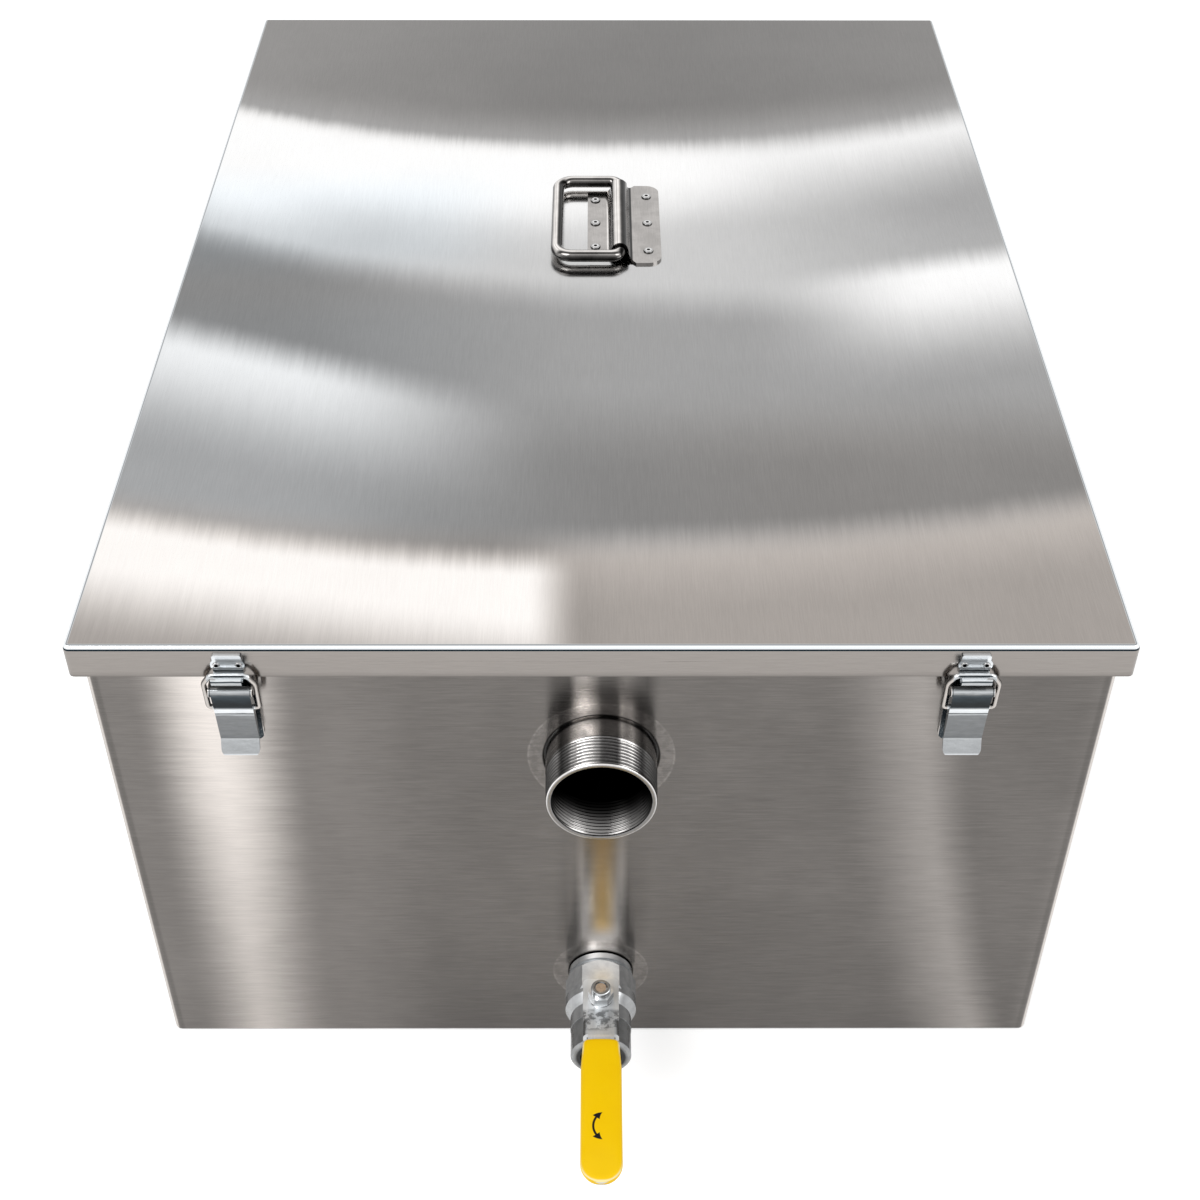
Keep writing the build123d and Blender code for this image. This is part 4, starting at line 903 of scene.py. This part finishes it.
# Inner sheet steel and the polished ball: light metal with drawn grain and cloudy marks
plainFinish = {
    "inner_steel": {
        "tones": (160, 190), "warm": 0.2, "grain": (0.05, 1.2, 1.2),
        "roughness": (0.28, 0.4), "bump": (0.02, 0.5),
    },
    "ball_steel": {
        "tones": (212, 228), "warm": 0.0, "grain": (0.4, 0.4, 0.4),
        "roughness": (0.06, 0.1), "bump": (0.02, 0.5),
    },
}


def plainSteel(slot, f):
    tree, shader, place = newFinish(slot, Metallic=1.0)
    grain = useGroup(tree, grainGroup, Place=place, Stretch=f["grain"])
    marks = useGroup(tree, wearGroup, Place=place, Size=6.0)
    level = remap(tree, grain["Fine"], 0.0, 1.0, *f["tones"], False)
    level = vary(tree, level, marks["Cloud"], 18.0)
    level = calc(tree, "MULTIPLY_ADD", marks["Scratch"], 20.0, level)
    paint(tree, shader, f, steelColour(tree, level, f["warm"]), grain["Fine"], grain["Height"])


# Rubber and plastic: fine grain and broad darker patches
softFinish = {
    "gasket_rubber": {
        "colour": (0.045, 0.045, 0.045), "dark": (0.02, 0.02, 0.02), "scale": 0.9,
        "roughness": (0.6, 0.7), "bump": (0.05, 0.5),
    },
    "seat_plastic": {
        "colour": (0.88, 0.88, 0.86), "dark": (0.78, 0.78, 0.75), "scale": 0.7,
        "roughness": (0.35, 0.45), "bump": (0.02, 0.5),
    },
}


def softMaterial(slot, f):
    tree, shader, place = newFinish(slot, Metallic=0.0)
    grain = noise(tree, place, f["scale"], 4.0, 0.6)
    broad = noise(tree, place, 0.06, 3.0, 0.55)
    mix = mixColour(tree, remap(tree, grain, 0.35, 0.75), f["colour"], f["dark"])
    mix = mixColour(tree, product(tree, remap(tree, broad, 0.4, 0.7), 0.35), mix, f["dark"])
    paint(tree, shader, f, mix, grain, grain, (0.3, 0.7))


# Lever sleeve: dipped vinyl, crowned a little, with rounded edges and a round tip
sleeve = {
    "start": -452.2, "tip": -541.8, "neck": 10.15, "full": 11.4, "widenedBy": 18.5, "middle": 100.35,
    "half": 2.75, "corner": 3.0, "cornerShare": 0.8, "startDrop": 0.9, "startRun": 1.4, "tipRun": 2.6,
    "edgePower": 3.0, "around": 40,
    "colour": (1.0, 0.63, 0.002), "deep": (0.95, 0.56, 0.0015), "paintedShine": (1.0, 0.9, 0.5),
    "ink": (0.012, 0.012, 0.012), "roughness": (0.28, 0.38), "bump": (0.03, 0.35),
    "neckShine": (-462.0, -454.0, 3.0),
    "plain": {"Metallic": 0.0, "Specular IOR Level": 0.12, "Coat Weight": 0.1, "Coat Roughness": 0.06},
    "mark": {
        "centre": (5.0, -508.5), "radius": 9.4, "stroke": 0.62, "reach": 62.0, "head": 2.3, "headLength": 4.6,
        "lineFrom": 2.0, "soft": 0.12,
    },
}


def turnMark(tree, x, y):
    # A plain curved arrow with a head at each end, as a mask
    m = sleeve["mark"]
    acrossX = minus(tree, m["centre"][0], x)
    acrossY = minus(tree, y, m["centre"][1])
    angle = calc(tree, "ABSOLUTE", calc(tree, "ARCTAN2", acrossY, acrossX))
    off = gap(tree, distance(tree, acrossX, acrossY), m["radius"])
    along = product(tree, minus(tree, radians(m["reach"]), angle), m["radius"])
    line = remap(tree, off, m["stroke"] + m["soft"], m["stroke"] - m["soft"])
    line = product(tree, line, calc(tree, "GREATER_THAN", along, m["lineFrom"]))
    width = product(tree, along, m["head"] / m["headLength"])
    head = product(
        tree, calc(tree, "GREATER_THAN", along, 0.0), calc(tree, "LESS_THAN", along, m["headLength"]),
        remap(tree, minus(tree, off, width), m["soft"], -m["soft"]),
    )
    return calc(tree, "MAXIMUM", line, head)


def sleeveVinyl():
    s = sleeve
    tree, shader, place = newFinish("sleeve_vinyl", **s["plain"])
    x, y = apart(tree, place)[:2]
    nz = facing(tree)[2]
    grain = noise(tree, place, 0.5, 3.0, 0.6)
    broad = noise(tree, place, 0.05, 2.0, 0.5)
    colour = mixColour(tree, product(tree, remap(tree, grain, 0.4, 0.7), 0.12), s["colour"], s["deep"])
    start = remap(tree, y, s["start"] - 9.0, s["start"] - 1.0)
    for mask, share in ((remap(tree, broad, 0.45, 0.65), 0.25), (start, 0.45)):
        colour = mixColour(tree, product(tree, mask, share), colour, s["deep"])
    # Painted highlight along the rounded edges, stronger at the neck's corners and round the tip
    edge = band(tree, nz, 0.42, 0.82, 0.1)
    tip = remap(tree, y, s["tip"] + 14.0, s["tip"] + 4.0)
    ends = calc(tree, "MAXIMUM", tip, band(tree, y, *s["neckShine"]))
    paintedShine = product(tree, edge, calc(tree, "MULTIPLY_ADD", ends, 0.75, 0.12))
    colour = mixColour(tree, paintedShine, colour, s["paintedShine"])
    onTop = remap(tree, nz, 0.5, 0.8)
    colour = mixColour(tree, product(tree, turnMark(tree, x, y), onTop), colour, s["ink"])
    paint(tree, shader, s, colour, grain, grain, (0.3, 0.7))


for makeFinish in (
    tankSteel, lidSteel, pipeSteel, valveSteel, stemSteel, leverSteel, handleSteel, rivetSteel, latchSteel,
    sleeveVinyl,
):
    makeFinish()
for slot, finish in plainFinish.items():
    plainSteel(slot, finish)
for slot, finish in softFinish.items():
    softMaterial(slot, finish)
slotOf = {row["node"]: row["material_slot"] for row in frame["record"]["subparts"]}
for name, node in nodes.items():
    node.data.materials.clear()
    node.data.materials.append(finishes[slotOf[name]])
print("finishes made for", len(nodes), "nodes")


# Pieces made here
def meshPiece(name, points, faces, slot, body, sharpFrom):
    mesh = bpy.data.meshes.new(name)
    mesh.from_pydata([Vector(p) * mm for p in points], [], faces)
    mesh.validate()
    bm = bmesh.new()
    bm.from_mesh(mesh)
    bmesh.ops.recalc_face_normals(bm, faces=bm.faces)
    bm.to_mesh(mesh)
    bm.free()
    mesh.shade_smooth()
    mesh.set_sharp_from_angle(angle=radians(sharpFrom))
    piece = bpy.data.objects.new(name, mesh)
    bpy.context.collection.objects.link(piece)
    mesh.materials.append(finishes[slot])
    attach(piece, body)
    return piece


# Threaded pipe ends: the section runs round the tube wall, and each tooth winds on by one pitch a turn
nipple = {
    "radius": 30.15, "bore": 26.75, "pitch": 2.31, "depth": 1.15, "boreDepth": 0.9,
    "face": 374.0, "end": 408.0, "inner": 346.5, "sheet": 1.5, "threadFrom": 387.8, "taper": 0.021,
    "rootDrop": 0.15, "boreThread": 26.0, "weldRadius": 33.65, "weldThickness": 2.5, "steps": 144,
}


def tooth(turns):
    # Height of a rounded thread, 0 in the root and 1 on the crest
    t = abs(turns % 1.0 - 0.5) * 2
    return min(1.0, max(0.0, (t - 0.12) / 0.7))


def threadedPipe(name, side, height, replaced):
    n = nipple
    start, end, inside = n["threadFrom"], n["end"], n["face"] - n["sheet"]
    outer, bore = n["radius"], n["bore"]
    # Each row is a place along the pipe, a radius, and how deep the outer and the inner thread are there
    section = [
        (n["inner"], outer, 0.0, 0.0), (inside - n["weldThickness"], outer, 0.0, 0.0),
        (inside, n["weldRadius"], 0.0, 0.0), (inside + 0.01, outer, 0.0, 0.0), (start - 1.2, outer, 0.0, 0.0),
    ]
    along = start
    step = n["pitch"] / 8
    while along < end - 0.9:
        run = along - start
        fade = min(1.0, run / 2.0) * min(1.0, (end - 0.7 - along) / 1.2 + 0.1)
        section.append((along, outer - n["rootDrop"] - n["taper"] * run, n["depth"] * fade, 0.0))
        along += step
    tip = outer - n["rootDrop"] - n["taper"] * (end - start)
    section += [
        (end - 0.7, tip - 0.1, 0.0, 0.0), (end - 0.2, tip - 0.35, 0.0, 0.0), (end, tip - 0.6, 0.0, 0.0),
        (end, bore + 0.5, 0.0, 0.0), (end - 0.3, bore + 0.2, 0.0, 0.0),
    ]
    along = end - 0.8
    while along > end - n["boreThread"]:
        fade = min(1.0, (end - 0.5 - along) / 1.5, (along - end + n["boreThread"]) / 2.0)
        section.append((along, bore + 0.25, 0.0, n["boreDepth"] * max(0.0, fade)))
        along -= step
    section += [(end - n["boreThread"] - 1.0, bore, 0.0, 0.0), (n["inner"], bore, 0.0, 0.0)]
    points = []
    count = n["steps"]
    for along, radius, outerDepth, innerDepth in section:
        for j in range(count):
            turn = j / count
            crest = tooth(along / n["pitch"] - turn)
            r = radius - outerDepth * (1 - crest) + innerDepth * (crest - 0.5)
            a = 2 * pi * turn
            points.append((r * cos(a), side * along, height + side * r * sin(a)))
    rows = len(section)
    faces = []
    for i in range(rows):
        for j in range(count):
            k, m = (i + 1) % rows, (j + 1) % count
            faces.append((i * count + j, i * count + m, k * count + m, k * count + j))
    piece = meshPiece(name, points, faces, "pipe_steel", "tank", 50)
    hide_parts(replaced)


threadedPipe("outletThreadedEnd", -1, tankFinish["axes"]["front"], "outlet_nipple")
threadedPipe("inletThreadedEnd", 1, tankFinish["axes"]["rear"], "inlet_nipple")
print("threaded ends made")


def leverSleeve():
    s = sleeve
    centre = s["tip"] + s["full"]
    widened = s["start"] - s["widenedBy"]
    stations = [s["start"] - t for t in (0.0, 0.25, 0.7, 1.4, 2.4, 3.6, 6, 9, 12, 15, 18.5)]
    stations += [widened - (widened - centre) * k / 12 for k in range(1, 13)]
    stations += [centre - s["full"] * sin(radians(a)) for a in (10, 20, 30, 40, 50, 58, 66, 73, 79, 84, 87.5)]
    points = []
    count = s["around"]
    for y in stations:
        run = s["start"] - y
        if y >= centre:
            wide = s["neck"] + (s["full"] - s["neck"]) * min(1, run / s["widenedBy"])
            if run < s["corner"]:
                rounded = sqrt(max(0, 1 - (1 - run / s["corner"]) ** 2))
                wide -= s["corner"] * (1 - rounded) * s["cornerShare"]
            thick = s["half"] - s["startDrop"] * max(0, 1 - run / s["startRun"]) ** 2
        else:
            wide = sqrt(max(0, s["full"] ** 2 - (centre - y) ** 2))
            fromTip = max(0, 1 - (y - s["tip"]) / s["tipRun"])
            thick = s["half"] * min(1, sqrt(max(0, 1 - fromTip ** 2)) + 0.02)
        for j in range(count):
            a = 2 * pi * j / count
            c, n = cos(a), sin(a)
            p = 2 / s["edgePower"]
            points.append((
                wide * (abs(c) ** p) * (1 if c >= 0 else -1), y,
                s["middle"] + thick * (abs(n) ** p) * (1 if n >= 0 else -1),
            ))
    rows = len(stations)
    faces = [
        (i * count + j, i * count + (j + 1) % count, (i + 1) * count + (j + 1) % count, (i + 1) * count + j)
        for i in range(rows - 1) for j in range(count)
    ]
    faces.append(tuple(range(count)))
    faces.append(tuple((rows - 1) * count + j for j in reversed(range(count))))
    piece = meshPiece("leverSleeveVinyl", points, faces, "sleeve_vinyl", "valve_lever", 60)
    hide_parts("lever_sleeve")


leverSleeve()
print("sleeve made")


# Plain pale floor, white background and two soft lamps. The floor's glow is its strength on camera rays and on
# mirrored ones.
studio = {
    "floorHalf": 12,
    "floorShade": 0.86,
    "floorGlow": (0.5, 0.28),
    "light": 0.58,
    "white": 0.42,
    "target": (0, 0, 0.2),
    "lamps": {
        "keyLamp": {"place": (-1.6, -1.4, 2.4), "size": (1.6, 1.6), "power": 35},
        "fillLamp": {"place": (1.9, -0.9, 1.7), "size": (1.4, 1.4), "power": 17},
    },
}


def seenRay(tree, direct, mirrored):
    # One strength on camera rays, one on glossy and transmission rays, and nothing on the rest
    path = tree.nodes.new("ShaderNodeLightPath")
    bounced = calc(tree, "MAXIMUM", path.outputs["Is Glossy Ray"], path.outputs["Is Transmission Ray"])
    bounced = product(tree, bounced, mirrored)
    return calc(tree, "MULTIPLY_ADD", path.outputs["Is Camera Ray"], direct, bounced)


def stageFloor():
    mesh = bpy.data.meshes.new("floor")
    h = studio["floorHalf"]
    mesh.from_pydata([(-h, -h, 0), (h, -h, 0), (h, h, 0), (-h, h, 0)], [], [(0, 1, 2, 3)])
    floor = bpy.data.objects.new("floor", mesh)
    bpy.context.collection.objects.link(floor)
    material = bpy.data.materials.new("floorWhite")
    material.use_nodes = True
    tree = material.node_tree
    tree.nodes.remove(tree.nodes["Principled BSDF"])
    matte = tree.nodes.new("ShaderNodeBsdfDiffuse")
    matte.inputs["Color"].default_value = (*[studio["floorShade"]] * 3, 1)
    glow = tree.nodes.new("ShaderNodeEmission")
    tree.links.new(seenRay(tree, *studio["floorGlow"]), glow.inputs["Strength"])
    both = tree.nodes.new("ShaderNodeAddShader")
    tree.links.new(matte.outputs[0], both.inputs[0])
    tree.links.new(glow.outputs[0], both.inputs[1])
    tree.links.new(both.outputs[0], tree.nodes["Material Output"].inputs["Surface"])
    mesh.materials.append(material)


def studioWorld():
    world = bpy.data.worlds.new("studio")
    bpy.context.scene.world = world
    world.use_nodes = True
    tree = world.node_tree
    background = tree.nodes["Background"]
    background.inputs["Color"].default_value = (1, 1, 1, 1)
    seen = seenRay(tree, studio["white"], studio["white"])
    tree.links.new(calc(tree, "ADD", seen, studio["light"]), background.inputs["Strength"])


def softLamp(name, place, size, power):
    data = bpy.data.lights.new(name, "AREA")
    data.shape = "RECTANGLE"
    data.size, data.size_y = size
    data.energy = power
    lamp = bpy.data.objects.new(name, data)
    lamp.location = place
    lamp.rotation_euler = (Vector(studio["target"]) - Vector(place)).to_track_quat("-Z", "Y").to_euler()
    bpy.context.collection.objects.link(lamp)


stageFloor()
studioWorld()
for name, lamp in studio["lamps"].items():
    softLamp(name, **lamp)
bpy.context.scene.view_settings.view_transform = "Standard"
print("stage and lamps set")
